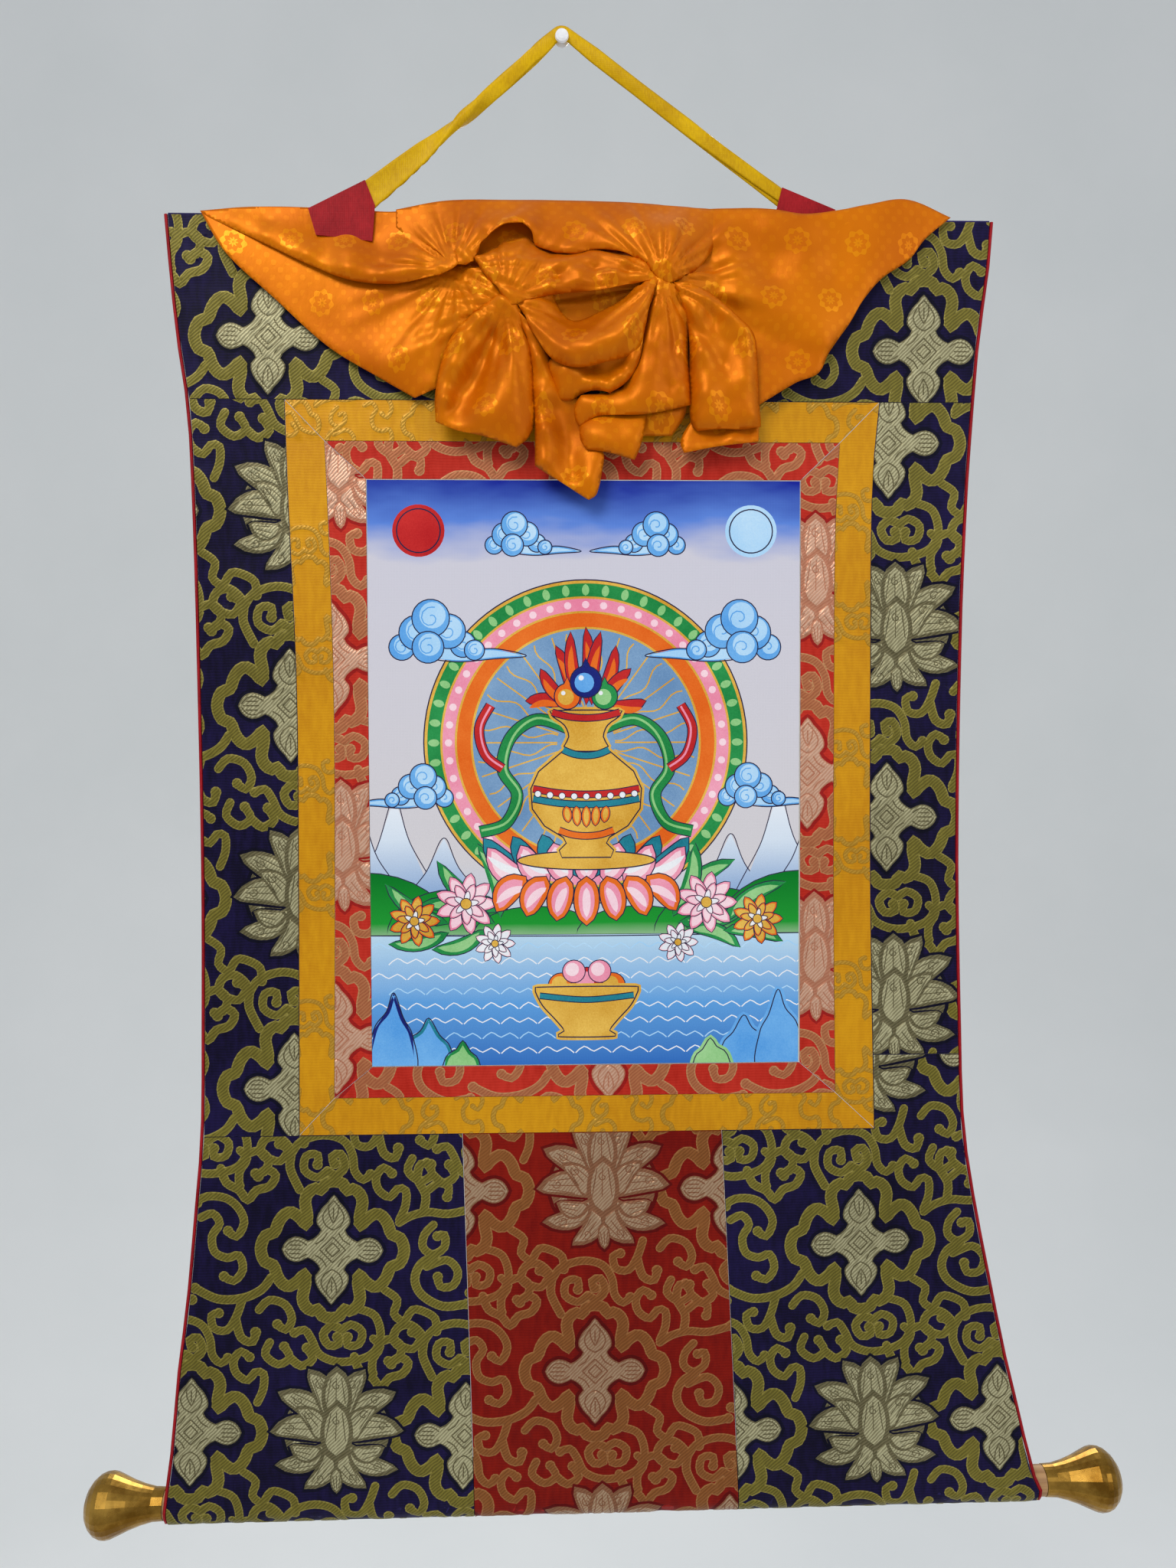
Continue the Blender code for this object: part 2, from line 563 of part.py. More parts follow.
def veil_relief():
    """How far the veil stands off the mount: cloth drawn tight between its edges and its folds."""
    outline = list(VEIL_OUTLINE)
    places = np.array(outline)
    x0, z0 = places[:, 0].min() - 3 * VEIL_CELL, places[:, 1].min() - 3 * VEIL_CELL
    across = int((places[:, 0].max() - x0) / VEIL_CELL) + 4
    down = int((places[:, 1].max() - z0) / VEIL_CELL) + 4
    x, z = np.meshgrid(x0 + VEIL_CELL * np.arange(across), z0 + VEIL_CELL * np.arange(down))
    cloth = inside(x, z, outline)
    stand = np.full(x.shape, 8.0)
    held = np.zeros(x.shape, bool)
    for line in [outline + outline[:1], *VEIL_FOLDS.values()]:
        for px, pz, rise in along(line, VEIL_CELL / 2):
            j, i = round((px - x0) / VEIL_CELL), round((pz - z0) / VEIL_CELL)
            stand[i, j] = rise
            held[i, j] = True
    used = cloth | held
    for _ in range(VEIL_RELAX_STEPS):
        total, count = np.zeros(x.shape), np.zeros(x.shape)
        for axis in (0, 1):
            for shift in (-1, 1):
                near = np.roll(used, shift, axis)
                total += np.where(near, np.roll(stand, shift, axis), 0.0)
                count += near
        free = used & ~held & (count > 0)
        stand[free] = total[free] / count[free]

    def read(px, pz):
        u, v = (px - x0) / VEIL_CELL, (pz - z0) / VEIL_CELL
        j, i = int(u), int(v)
        near = [(i, j), (i, j + 1), (i + 1, j), (i + 1, j + 1)]
        shares = [(1 - u + j) * (1 - v + i), (u - j) * (1 - v + i), (1 - u + j) * (v - i), (u - j) * (v - i)]
        seen = [(s, stand[n]) for s, n in zip(shares, near) if used[n]]
        weight = sum(s for s, _ in seen)
        return sum(s * h for s, h in seen) / weight if weight > 1e-6 else 8.0

    return read


def veil(group, silk):
    """The veil, gathered up in swags and hanging lobes, as one sheet with its real relief."""
    outline = list(VEIL_OUTLINE)
    read = veil_relief()
    rim = along(outline + outline[:1], VEIL_EDGE_SPACING)[:-1]
    points = [(p[0], p[1], p[2]) for p in rim]
    placed = np.array([p[:2] for p in points])

    def add(x, z, rise, closest):
        nonlocal placed
        if np.hypot(placed[:, 0] - x, placed[:, 1] - z).min() > closest:
            points.append((x, z, rise))
            placed = np.vstack([placed, (x, z)])

    for line in VEIL_FOLDS.values():
        for x, z, rise in along(line, VEIL_EDGE_SPACING):
            add(x, z, rise, 0.5 * VEIL_CLOSEST)
    low = placed.min(0)
    high = placed.max(0)
    for i in range(int((high[1] - low[1]) / (VEIL_SPACING * 0.87)) + 1):
        for j in range(int((high[0] - low[0]) / VEIL_SPACING) + 1):
            x = low[0] + VEIL_SPACING * (j + 0.5 * (i % 2))
            z = low[1] + VEIL_SPACING * 0.87 * i
            if inside(np.array(x), np.array(z), outline):
                add(x, z, read(x, z), VEIL_CLOSEST)
    flat = [Vector(p[:2]) for p in points]
    ring = list(range(len(rim)))
    edges = list(zip(ring, ring[1:] + ring[:1]))
    spots, _, faces, origin, _, _ = delaunay_2d_cdt(flat, edges, [], 0, 1e-6)
    mesh = bmesh.new()
    front, back = [], []
    for spot, source in zip(spots, origin):
        x, z = spot.x * MM, spot.y * MM
        y = front_y(x, z) - points[source[0]][2] * MM
        front.append(mesh.verts.new((x, y, z)))
        back.append(mesh.verts.new((x, y + VEIL_THICK, z)))
    outer = outline
    sides = {}
    for a, b, c in faces:
        middle = (spots[a] + spots[b] + spots[c]) / 3
        if not inside(np.array(middle.x), np.array(middle.y), outer):
            continue
        mesh.faces.new((front[a], front[b], front[c]))
        mesh.faces.new((back[c], back[b], back[a]))
        for edge in ((a, b), (b, c), (c, a)):
            if (edge[1], edge[0]) in sides:
                del sides[(edge[1], edge[0])]
            else:
                sides[edge] = True
    for a, b in sides:
        mesh.faces.new((front[b], front[a], back[a], back[b]))
    for vert in [v for v in mesh.verts if not v.link_faces]:
        mesh.verts.remove(vert)
    bmesh.ops.recalc_face_normals(mesh, faces=mesh.faces)
    data = bpy.data.meshes.new("veil")
    mesh.to_mesh(data)
    mesh.free()
    add_to(group, "veil", data, silk)


def wall_pin(group, white):
    pin = turned(group, "wall_pin", PIN_PROFILE, white, 24)
    pin.rotation_euler = (math.pi / 2, 0.0, 0.0)


def build():
    for old in list(bpy.data.objects):
        bpy.data.objects.remove(old, do_unlink=True)
    group = bpy.data.collections.new("scroll painting")
    bpy.context.scene.collection.children.link(group)

    navy = material("navy brocade", (0.012, 0.011, 0.070), 0.62)
    red = material("red brocade", (0.42, 0.030, 0.020), 0.58)
    gold = material("gold brocade", (0.66, 0.33, 0.012), 0.50)
    painted = material("painted cotton", (0.55, 0.56, 0.66), 0.80)
    cream = material("cream piping", (0.56, 0.45, 0.42), 0.70)
    crimson = material("crimson cloth", (0.37, 0.015, 0.032), 0.60)
    silk = material("orange silk", (0.75, 0.21, 0.003), 0.38)
    yellow = material("yellow tape", (0.62, 0.38, 0.005), 0.48)
    wood = material("turned wood", (0.36, 0.20, 0.10), 0.60)
    brass = material("worn brass", (0.30, 0.17, 0.045), 0.32, metallic=1.0)
    white = material("white pin", (0.80, 0.79, 0.80), 0.35)

    header(group, navy)
    side_strips(group, navy)
    lower_panels(group, navy, red)
    border(group, "gold_border", GOLD_EDGES, RED_EDGES, gold)
    reach = 2 * PIPING_RADIUS + SEAM_GAP
    (top, left, right), (foot, foot_left, foot_right) = PICTURE_EDGES
    opening = (
        (top + reach / MM, left - reach / MM, right + reach / MM),
        (foot - reach / MM, foot_left - reach / MM, foot_right + reach / MM),
    )
    border(group, "red_border", RED_EDGES, opening, red)
    picture(group, painted, cream)
    edge_cords(group, crimson)
    roller(group, wood, brass)
    veil(group, silk)
    tabs(group, crimson)
    hanging_tape(group, yellow)
    wall_pin(group, white)


build()
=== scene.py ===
"""A Himalayan scroll painting in its brocade mount, from its painted panel outwards."""

import math

import bpy
import numpy as np
from mathutils import Matrix, Vector
from mathutils.geometry import delaunay_2d_cdt


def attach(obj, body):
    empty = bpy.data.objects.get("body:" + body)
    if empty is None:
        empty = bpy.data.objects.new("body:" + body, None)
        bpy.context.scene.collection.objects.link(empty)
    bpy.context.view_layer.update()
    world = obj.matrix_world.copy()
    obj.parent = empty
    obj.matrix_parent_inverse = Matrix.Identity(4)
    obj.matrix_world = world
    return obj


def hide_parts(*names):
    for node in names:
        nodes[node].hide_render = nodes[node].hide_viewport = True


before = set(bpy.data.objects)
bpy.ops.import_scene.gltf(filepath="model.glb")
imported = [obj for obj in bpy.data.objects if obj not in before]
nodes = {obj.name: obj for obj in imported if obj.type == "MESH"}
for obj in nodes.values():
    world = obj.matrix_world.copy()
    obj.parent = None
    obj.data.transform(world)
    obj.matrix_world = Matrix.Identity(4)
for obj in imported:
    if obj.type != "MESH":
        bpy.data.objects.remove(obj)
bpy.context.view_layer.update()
MM = 0.001

# ---------------------------------------------------------------- The painted panel
# A sheet of fine cotton, primed and rubbed smooth, and painted in mineral colours. It
# hangs flat in its borders. The design is a plain traditional one: a treasure vase
# on a lotus seat, before a ringed halo and over water.

# The cloth's front leans out from the wall down to the roller, with a few soft swells:
# their middle, reach and stand in mm. These values repeat part.py's.
HEADER_TOP, HEADER_Y = -0.1175, -0.0050
ROLLER_Y, ROLLER_Z = -0.0225, -1.0195
SLEEVE_RADIUS, CLOTH = 0.01175, 0.0015
SWELLS = (
    (15, -500, 110, 150, 2.0), (-222, -420, 22, 80, 1.6), (-252, -560, 16, 120, -2.2),
    (246, -600, 22, 90, 2.0), (276, -400, 15, 110, 2.4), (-215, -880, 50, 45, 1.8),
    (30, -860, 60, 70, 1.5), (235, -900, 45, 50, -1.6), (305, -840, 20, 60, 2.2),
)


def front_y(x, z):
    """The front face of the mount, for numbers or arrays in metres."""
    drop = np.clip((HEADER_TOP - z) / (HEADER_TOP - ROLLER_Z), 0.0, 1.0)
    y = HEADER_Y + (ROLLER_Y - SLEEVE_RADIUS - HEADER_Y) * drop
    for cx, cz, rx, rz, stand in SWELLS:
        y = y - MM * stand * np.exp(-((x / MM - cx) / rx) ** 2 - ((z / MM - cz) / rz) ** 2)
    return y - CLOTH / 2


class Nodes:
    """A material's node tree, with a short way to add and join nodes."""

    def __init__(self, name):
        self.made = bpy.data.materials.new(name)
        self.made.use_nodes = True
        self.tree = self.made.node_tree
        self.shader = self.tree.nodes["Principled BSDF"]

    def add(self, kind, links=None, **values):
        node = self.tree.nodes.new("ShaderNode" + kind)
        for key, value in values.items():
            if hasattr(node, key):
                setattr(node, key, value)
            else:
                node.inputs[key.replace("_", " ")].default_value = value
        for key, source in (links or {}).items():
            self.link(source, node.inputs[key])
        return node

    def link(self, source, target):
        self.tree.links.new(source, target)

    def set(self, **values):
        for key, value in values.items():
            self.shader.inputs[key.replace("_", " ")].default_value = value
        return self

    def place(self, scale=(1, 1, 1), turn=(0, 0, 0)):
        where = self.add("TexCoord").outputs["Object"]
        mapping = self.add("Mapping", {"Vector": where})
        mapping.inputs["Scale"].default_value = scale
        mapping.inputs["Rotation"].default_value = turn
        return mapping.outputs["Vector"]

    def noise(self, vector, scale, detail=4.0, roughness=0.55):
        made = self.add("TexNoise", {"Vector": vector}, Scale=scale, Detail=detail, Roughness=roughness)
        return made.outputs["Fac"]

    def ramp(self, factor, *stops):
        made = self.add("ValToRGB", {"Fac": factor})
        elements = made.color_ramp.elements
        while len(elements) < len(stops):
            elements.new(0.5)
        for element, (place, colour) in zip(elements, stops):
            element.position = place
            element.color = (*colour, 1.0)
        return made.outputs["Color"]

    def math(self, operation, a, b=0.5):
        made = self.add("Math", operation=operation)
        for socket, value in zip(made.inputs, (a, b)):
            if isinstance(value, (int, float)):
                socket.default_value = value
            else:
                self.link(value, socket)
        return made.outputs["Value"]

    def mix(self, factor, a, b):
        made = self.add("Mix", data_type="RGBA", blend_type="MIX")
        for socket, value in ((made.inputs[0], factor), (made.inputs[6], a), (made.inputs[7], b)):
            self.link(value, socket)
        return made.outputs[2]

    def colour(self, source):
        self.link(source, self.shader.inputs["Base Color"])
        return self

    def rough(self, source):
        self.link(source, self.shader.inputs["Roughness"])
        return self

    def bump(self, height, distance, strength):
        made = self.add("Bump", {"Height": height}, Distance=distance, Strength=strength)
        self.link(made.outputs["Normal"], self.shader.inputs["Normal"])
        return self


def srgb(r, g, b):
    """A linear colour from one seen on a screen, 0 to 255."""
    return tuple((c / 255 / 12.92) if c < 10.3 else ((c / 255 + 0.055) / 1.055) ** 2.4 for c in (r, g, b))


# A wave texture's scale for one rib in each metre.
PER_METRE = 0.314


def weave(cloth, across, along):
    """The height of a woven ground: threads across and along, in threads a metre."""
    place = cloth.place()
    one = cloth.add("TexWave", {"Vector": place}, bands_direction="X", Scale=across * PER_METRE, Distortion=1.2)
    two = cloth.add("TexWave", {"Vector": place}, bands_direction="Z", Scale=along * PER_METRE, Distortion=1.2)
    return cloth.math("ADD", one.outputs["Fac"], two.outputs["Fac"])


def plain_cotton():
    made = Nodes("primed_cotton").set(Roughness=0.85)
    place = made.place()
    made.colour(made.ramp(made.noise(place, 20), (0.3, srgb(196, 188, 168)), (0.7, srgb(214, 208, 190))))
    made.bump(weave(made, 700, 700), 0.00012, 0.6)
    return made.made


def show(name, material):
    """Dress a solid as it was built."""
    nodes[name].data.materials.clear()
    nodes[name].data.materials.append(material)


show("picture_panel", plain_cotton())


def paint(name, dark, light):
    made = Nodes(name).set(Roughness=0.85, Specular_IOR_Level=0.1)
    wash = made.noise(made.place(), 26.0, 4.0)
    grain = made.noise(made.place(), 900, 2.0)
    mixed = made.math("ADD", made.math("MULTIPLY", wash, 0.7), made.math("MULTIPLY", grain, 0.3))
    made.colour(made.ramp(mixed, (0.34, dark), (0.66, light)))
    made.bump(weave(made, 900, 900), 0.00005, 0.4)
    return made.made


def graded(name, *stops):
    """A wash that changes with height: stops of height in mm and colour."""
    made = Nodes(name).set(Roughness=0.85, Specular_IOR_Level=0.1)
    where = made.add("TexCoord").outputs["Object"]
    height = made.add("SeparateXYZ", {"Vector": where}).outputs["Z"]
    low, high = stops[0][0] * MM, stops[-1][0] * MM
    brush = made.math("MULTIPLY", made.math("SUBTRACT", made.noise(made.place((1, 1, 3)), 14, 3.0), 0.5), 0.10)
    share = made.math("ADD", made.math("DIVIDE", made.math("SUBTRACT", height, low), high - low), brush)
    made.colour(made.ramp(share, *[((z * MM - low) / (high - low), c) for z, c in stops]))
    made.bump(weave(made, 900, 900), 0.00005, 0.4)
    return made.made


PAINTS = {
    "sky": graded(
        "sky_wash", (-600, srgb(196, 206, 222)), (-560, srgb(212, 208, 212)), (-352, srgb(206, 204, 216)),
        (-326, srgb(92, 132, 216)), (-297, srgb(24, 38, 150))
    ),
    "water": graded(
        "water_wash", (-704, srgb(52, 110, 190)), (-660, srgb(96, 160, 222)), (-606, srgb(196, 224, 240))
    ),
    "grass": graded(
        "grass_wash", (-624, srgb(206, 224, 196)), (-604, srgb(30, 150, 50)), (-566, srgb(0, 112, 36))
    ),
    "snow": graded(
        "snow_wash", (-590, srgb(120, 158, 206)), (-545, srgb(214, 226, 240)), (-500, srgb(244, 246, 250))
    ),
    "ink": paint("dark_line", srgb(34, 32, 62), srgb(52, 46, 76)),
    "gold": paint("painted_gold", srgb(206, 150, 46), srgb(240, 196, 92)),
    "deep gold": paint("painted_deep_gold", srgb(160, 100, 26), srgb(190, 126, 40)),
    "orange": paint("painted_orange", srgb(224, 96, 24), srgb(240, 124, 46)),
    "red": paint("painted_red", srgb(180, 30, 34), srgb(206, 50, 48)),
    "pink": paint("painted_pink", srgb(232, 130, 160), srgb(246, 168, 190)),
    "pale pink": paint("painted_pale_pink", srgb(246, 200, 214), srgb(252, 226, 232)),
    "white": paint("painted_white", srgb(226, 230, 238), srgb(246, 246, 248)),
    "green": paint("painted_green", srgb(24, 124, 60), srgb(50, 156, 84)),
    "pale green": paint("painted_pale_green", srgb(126, 190, 116), srgb(164, 214, 150)),
    "teal": paint("painted_teal", srgb(22, 110, 130), srgb(50, 146, 164)),
    "cloud": paint("painted_cloud", srgb(84, 156, 226), srgb(118, 182, 238)),
    "pale cloud": paint("painted_pale_cloud", srgb(158, 206, 244), srgb(192, 224, 248)),
    "night": paint("painted_night", srgb(22, 30, 104), srgb(34, 46, 132)),
    "halo blue": paint("painted_halo_blue", srgb(104, 142, 184), srgb(138, 172, 206)),
}
PAINT_NAMES = list(PAINTS)
PICTURE_MIDDLE = 15.0
painted = []


def bend(a, lean_a, b, lean_b, t):
    """A place t of the way from a to b on a curve that leaves and meets them at a lean."""
    return ((2 * t**3 - 3 * t**2 + 1) * a + (t**3 - 2 * t**2 + t) * lean_a
            + (3 * t**2 - 2 * t**3) * b + (t**3 - t**2) * lean_b)


def rounded(points, spacing, closed=False):
    """Points about a spacing apart on a smooth run through the given ones."""
    p = [np.array(q, float) for q in points]
    n = len(p)
    made = []
    for i in range(n if closed else n - 1):
        a, b = p[i], p[(i + 1) % n]
        before = p[i - 1] if closed or i else a
        after = p[(i + 2) % n] if closed or i + 2 < n else b
        u, v = (b - before) / 2, (after - a) / 2
        count = max(1, round(np.linalg.norm(b - a) / spacing))
        for k in range(count):
            made.append(bend(a, u, b, v, k / count))
    if not closed:
        made.append(p[-1])
    return made


def around(middle, radius, angle):
    return (middle[0] + radius * math.cos(angle), middle[1] + radius * math.sin(angle))


def disc(middle, radius, count=10):
    return [around(middle, radius, math.tau * k / count) for k in range(count)]


def lanes(line, width, closed=False):
    """Points to the left of, on and to the right of a run."""
    line = np.array(line)
    along = (np.roll(line, -1, 0) - np.roll(line, 1, 0)) if closed else np.gradient(line, axis=0)
    across = np.c_[-along[:, 1], along[:, 0]] / (np.linalg.norm(along, axis=1)[:, None] + 1e-9)
    return line + across * width / 2, line, line - across * width / 2


def ribbon(line, width, closed=False, halves=False):
    left, middle, right = lanes(line, width, closed)
    pairs = ((left, middle), (middle, right)) if halves else ((left, right),)
    count = len(line) - (not closed)
    quads = []
    for one, two in pairs:
        for i in range(count):
            j = (i + 1) % len(line)
            quads.append([tuple(one[i]), tuple(one[j]), tuple(two[j]), tuple(two[i])])
    return quads


def petal(foot, tip, width, bow, inset=0.0):
    foot, tip = np.array(foot, float), np.array(tip, float)
    along = tip - foot
    across = np.array([-along[1], along[0]]) / np.linalg.norm(along)
    left, right = [], []
    for t in np.linspace(0.0, 1.0, 9):
        middle = foot + along * (inset * 0.12 + t * (1 - inset * 0.22)) + across * bow * 4 * t * (1 - t)
        half = width / 2 * 1.62 * t**0.55 * (1 - t) ** 0.62 * (1 - 0.26 * inset)
        left.append(tuple(middle + across * half))
        if 0 < t < 1:
            right.append(tuple(middle - across * half))
    return left + right[::-1]


def fill_in(colour, polygon, inner=None, line=0.9, shrink=1.8):
    """One painted form: its colour, a paler middle, and its dark outline."""
    painted.append((colour, polygon))
    edge = rounded(polygon, 3.0, True) if len(polygon) < 14 else [np.array(p) for p in polygon]
    if inner:
        middle = lanes(edge, shrink * 2, True)[2]
        painted.append((inner, [tuple(p) for p in middle]))
    if line:
        painted.extend(("ink", q) for q in ribbon(edge, line, True))


def line_of(colour, points, width, edged=False):
    run = rounded(points, 3.0)
    if edged:
        painted.extend(("ink", q) for q in ribbon(run, width + 1.4))
    painted.extend((colour, q) for q in ribbon(run, width))


def mid(x, z):
    """A place measured from the picture's middle line."""
    return (PICTURE_MIDDLE + x, z)


def both_sides(make):
    for side in (-1, 1):
        make(lambda x, z: mid(side * x, z))


def spiral(middle, radius, start, turns, way):
    return [
        around(middle, radius * (1 - 0.78 * t), start + way * math.tau * turns * t)
        for t in np.linspace(0, 1, 12)
    ]


def cloud(at, size, way):
    """A bank of curling cloud heads with a drawn-out tail."""
    tail = ((0, -10), (20, -16), (44, -15), (66, -20), (44, -22), (18, -24), (-6, -20))
    bank = [(at[0] + way * size * x, at[1] + size * z) for x, z in tail]
    fill_in("cloud", bank[::way], "pale cloud", 0.8, 1.2)
    heads = ((-20, -14, 9), (22, -12, 9), (-10, -4, 12), (12, -3, 12), (30, -16, 7), (0, 6, 13), (-2, -14, 11))
    for x, z, r in heads:
        middle = (at[0] + way * size * x, at[1] + size * z)
        fill_in("cloud", disc(middle, r * size, 22), None, 0.8)
        lit = (middle[0] + 0.1 * r * size, middle[1] + 0.16 * r * size)
        painted.append(("pale cloud", disc(lit, r * size * 0.70, 20)))
        line_of("cloud", spiral(middle, r * size * 0.62, 1.2 * way, 1.1, way), 0.9)


def flower(at, size, outer, inner):
    """Rings of petals, from the outside inwards, and a gold heart."""
    rings = ((0, 9, 19, outer, inner), (0.3, 7, 13, outer, inner), (0.1, 5, 8, inner, "white"))
    for start, count, reach, colour, pale in rings:
        for k in range(count):
            tip = around(at, size * reach, math.tau * (k + start) / count)
            fill_in(colour, petal(at, tip, size * reach * 0.62, 0.0), None, 0.6)
            painted.append((pale, petal(at, tip, size * reach * 0.62, 0.0, 1.0)))
    fill_in("gold", disc(at, size * 3.4, 14), None, 0.6)


def leaf(foot, tip, width, bow):
    fill_in("green", petal(foot, tip, width, bow), None, 0.7)
    painted.append(("pale green", petal(foot, tip, width * 0.8, bow, 1.0)))
    line_of("green", [foot, ((foot[0] + tip[0]) / 2, (foot[1] + tip[1]) / 2), tip], 0.7)


# Sky, far snow peaks, hills and water.
painted.append(("sky", [(-140, -620), (170, -620), (170, -290), (-140, -290)]))
PEAK = ((-34, 0), (-12, 0.62), (0, 1), (10, 0.66), (34, 0))
for x, height in ((-118, 88), (-84, 60), (-140, 70), (116, 62), (150, 92), (172, 74)):
    fill_in("snow", [(x + dx, -604 + height * up) for dx, up in PEAK], None, 0.7)
for x, height, width in (
    (-140, 44, 62), (-78, 32, 46), (-20, 20, 44), (52, 20, 44), (108, 32, 46), (166, 44, 60)
):
    hill = [(x + width * math.cos(a), -612 + height * math.sin(a)) for a in np.linspace(0, math.pi, 17)]
    fill_in("grass", hill, None, 0.7)
painted.append(("water", [(-140, -710), (170, -710), (170, -612), (-140, -612)]))
line_of("ink", [(-140, -612), (15, -613), (170, -612)], 0.8)
WAVE = ((0, 0), (6, 4.5), (13, 1), (19, 4), (25, 0))
for row in range(8):
    z = -622 - row * 10.5
    for x in np.arange(-136 + (row % 2) * 13, 166, 26):
        line_of("white" if row % 3 else "pale cloud", [(x + dx, z + dz) for dx, dz in WAVE], 0.8)

# The halo, with its rays and its ring of dots and leaves.
HALO = mid(0, -478.0)
HALO_RINGS = (
    (112, "gold"), (110, "green"), (101, "gold"), (99.5, "pink"),
    (91, "gold"), (89.5, "orange"), (80, "gold"), (78.5, "halo blue"),
)
for radius, colour in HALO_RINGS:
    painted.append((colour, disc(HALO, radius, 96)))
painted.extend(("ink", q) for q in ribbon([np.array(p) for p in disc(HALO, 112.4, 96)], 0.9, True))
for k in range(40):
    a = math.tau * k / 40
    ray = []
    for r in range(20, 77, 4):
        x, z = around(HALO, r, a)
        aside = (2.6 if k % 2 else 0.0) * math.sin(r / 5)
        ray.append((x - aside * math.sin(a), z + aside * math.cos(a)))
    line_of("gold", ray, 1.0)
for k in range(48):
    a = math.tau * k / 48
    painted.append(("pale pink", disc(around(HALO, 95.3, a), 2.6, 10)))
    painted.append(("pale green", petal(around(HALO, 101.5, a), around(HALO, 109.5, a), 7, 0)))

# Clouds, sun and moon.
for at, size, way in (
    ((-92, -398), 1.0, 1), ((122, -398), 1.0, -1), ((-98, -506), 0.72, -1),
    ((128, -506), 0.72, 1), ((-34, -332), 0.7, 1), ((64, -332), 0.7, -1),
):
    cloud(at, size, way)
fill_in("orange", disc((-100, -332), 15, 30), "red", 0.9, 3)
fill_in("white", disc((130, -332), 15, 30), "pale cloud", 0.9, 3)

# Foliage and blossoms each side of the seat. A leaf is its foot, tip, width and bow.
LEAVES = (
    ((62, -596), (104, -560), 17, 6), ((64, -604), (116, -590), 17, -5), ((60, -600), (76, -548), 16, -6),
    ((70, -608), (108, -622), 15, 5), ((96, -604), (140, -576), 15, 5), ((96, -610), (138, -618), 14, 4),
)


def spray(place):
    for foot, tip, width, bow in LEAVES:
        leaf(place(*foot), place(*tip), width, bow)
    flower(place(84, -590), 1.15, "pink", "pale pink")
    flower(place(120, -602), 0.95, "orange", "gold")
    flower(place(64, -618), 0.75, "pale pink", "white")


both_sides(spray)

# The lotus seat: petals of the far row, then the near rows, from the outside inwards.
for k in (-3.5, -2.5, -1.5, -0.5, 0.5, 1.5, 2.5, 3.5):
    fill_in("teal", petal(mid(11 * k, -572), mid(20.5 * k, -540 - 1.2 * abs(k)), 22, -1.2 * k), None, 0.8)
INWARDS = (-3, 3, -2, 2, -1, 1, 0)
for k in INWARDS:
    foot, tip = mid(13 * k, -576), mid(23 * k, -546 - 1.6 * abs(k))
    fill_in("pink", petal(foot, tip, 24, -1.5 * k), None, 0.8)
    painted.append(("pale pink", petal(foot, tip, 20, -1.5 * k, 1.0)))
    painted.append(("white", petal((foot[0], foot[1] + 7), (tip[0], tip[1] - 6), 7, -1.0 * k)))
for k in INWARDS:
    foot, tip = mid(14 * k, -571), mid(21 * k, -606 + 3.4 * abs(k))
    fill_in("orange", petal(foot, tip, 25, 1.2 * k), None, 0.8)
    painted.append(("pink", petal(foot, tip, 21, 1.2 * k, 1.0)))
    painted.append(("pale pink", petal((foot[0], foot[1] - 8), (tip[0], tip[1] + 6), 8, 0.8 * k)))
seat = [mid(48 * math.cos(a), -560 + 6.5 * math.sin(a)) for a in np.linspace(0, math.tau, 40)[:-1]]
fill_in("gold", seat, None, 0.9)

# The scarf round the vase, and the flames behind its jewels.
SCARF = (
    ("green", 7.5, True, ((12, -468), (34, -462), (52, -474), (58, -496), (48, -514), (56, -534), (74, -540))),
    (
        "pale green", 1.6, False,
        ((14, -467), (34, -461), (50, -473), (56, -496), (46, -514), (55, -533), (73, -539))
    ),
    ("red", 6.0, True, ((58, -496), (70, -486), (74, -468), (66, -452))),
    ("pink", 1.4, False, ((58, -495), (69, -486), (73, -468), (66, -453))),
)


def scarf(place):
    for colour, width, edged, run in SCARF:
        line_of(colour, [place(*p) for p in run], width, edged)


both_sides(scarf)
for k in range(-4, 5):
    foot, tip, bow = mid(4 * k, -452), mid(10.5 * k, -398 - 3.2 * k * k), 2.4 if k % 2 else -2.4
    fill_in("red", petal(foot, tip, 13, bow), None, 0.7)
    painted.append(("orange", petal(foot, (tip[0], tip[1] - 5), 9, bow, 1.0)))


def vase_part(*rows):
    """A turned shape in gold, from rows of height and half width."""
    right = [mid(half, z) for z, half in rows]
    left = [mid(-half, z) for z, half in reversed(rows)]
    fill_in("deep gold", right + left, "gold", 0.9, 2.2)


# The vase: its belly and neck, its bands, a row of pearls, a row of petals and three jewels.
vase_part(
    (-558, 17), (-553, 19), (-548, 14), (-544, 16), (-536, 29), (-524, 37.5), (-510, 38.5), (-498, 33),
    (-488, 21), (-482, 14)
)
vase_part((-483, 14), (-474, 12), (-466, 15), (-460, 23), (-456, 25))
for z, half, colour in (
    (-512, 38.0, "red"), (-519, 38.0, "teal"), (-541, 20.0, "orange"), (-485, 17.0, "teal"), (-459, 24.5, "red")
):
    band = ((1 - half, 2), (-half / 2, -1), (0, -2), (half / 2, -1), (half - 1, 2))
    line_of(colour, [mid(x, z + dz) for x, dz in band], 4.0, True)
for k in range(-4, 5):
    fill_in("white", disc(mid(8.4 * k, -515.5 + 0.12 * k * k), 2.3, 12), None, 0.5)
for k in (-2, -1, 0, 1, 2):
    fill_in("orange", petal(mid(7 * k, -522), mid(6.2 * k, -537 + 0.8 * k * k), 9, 0), "gold", 0.6, 1.4)
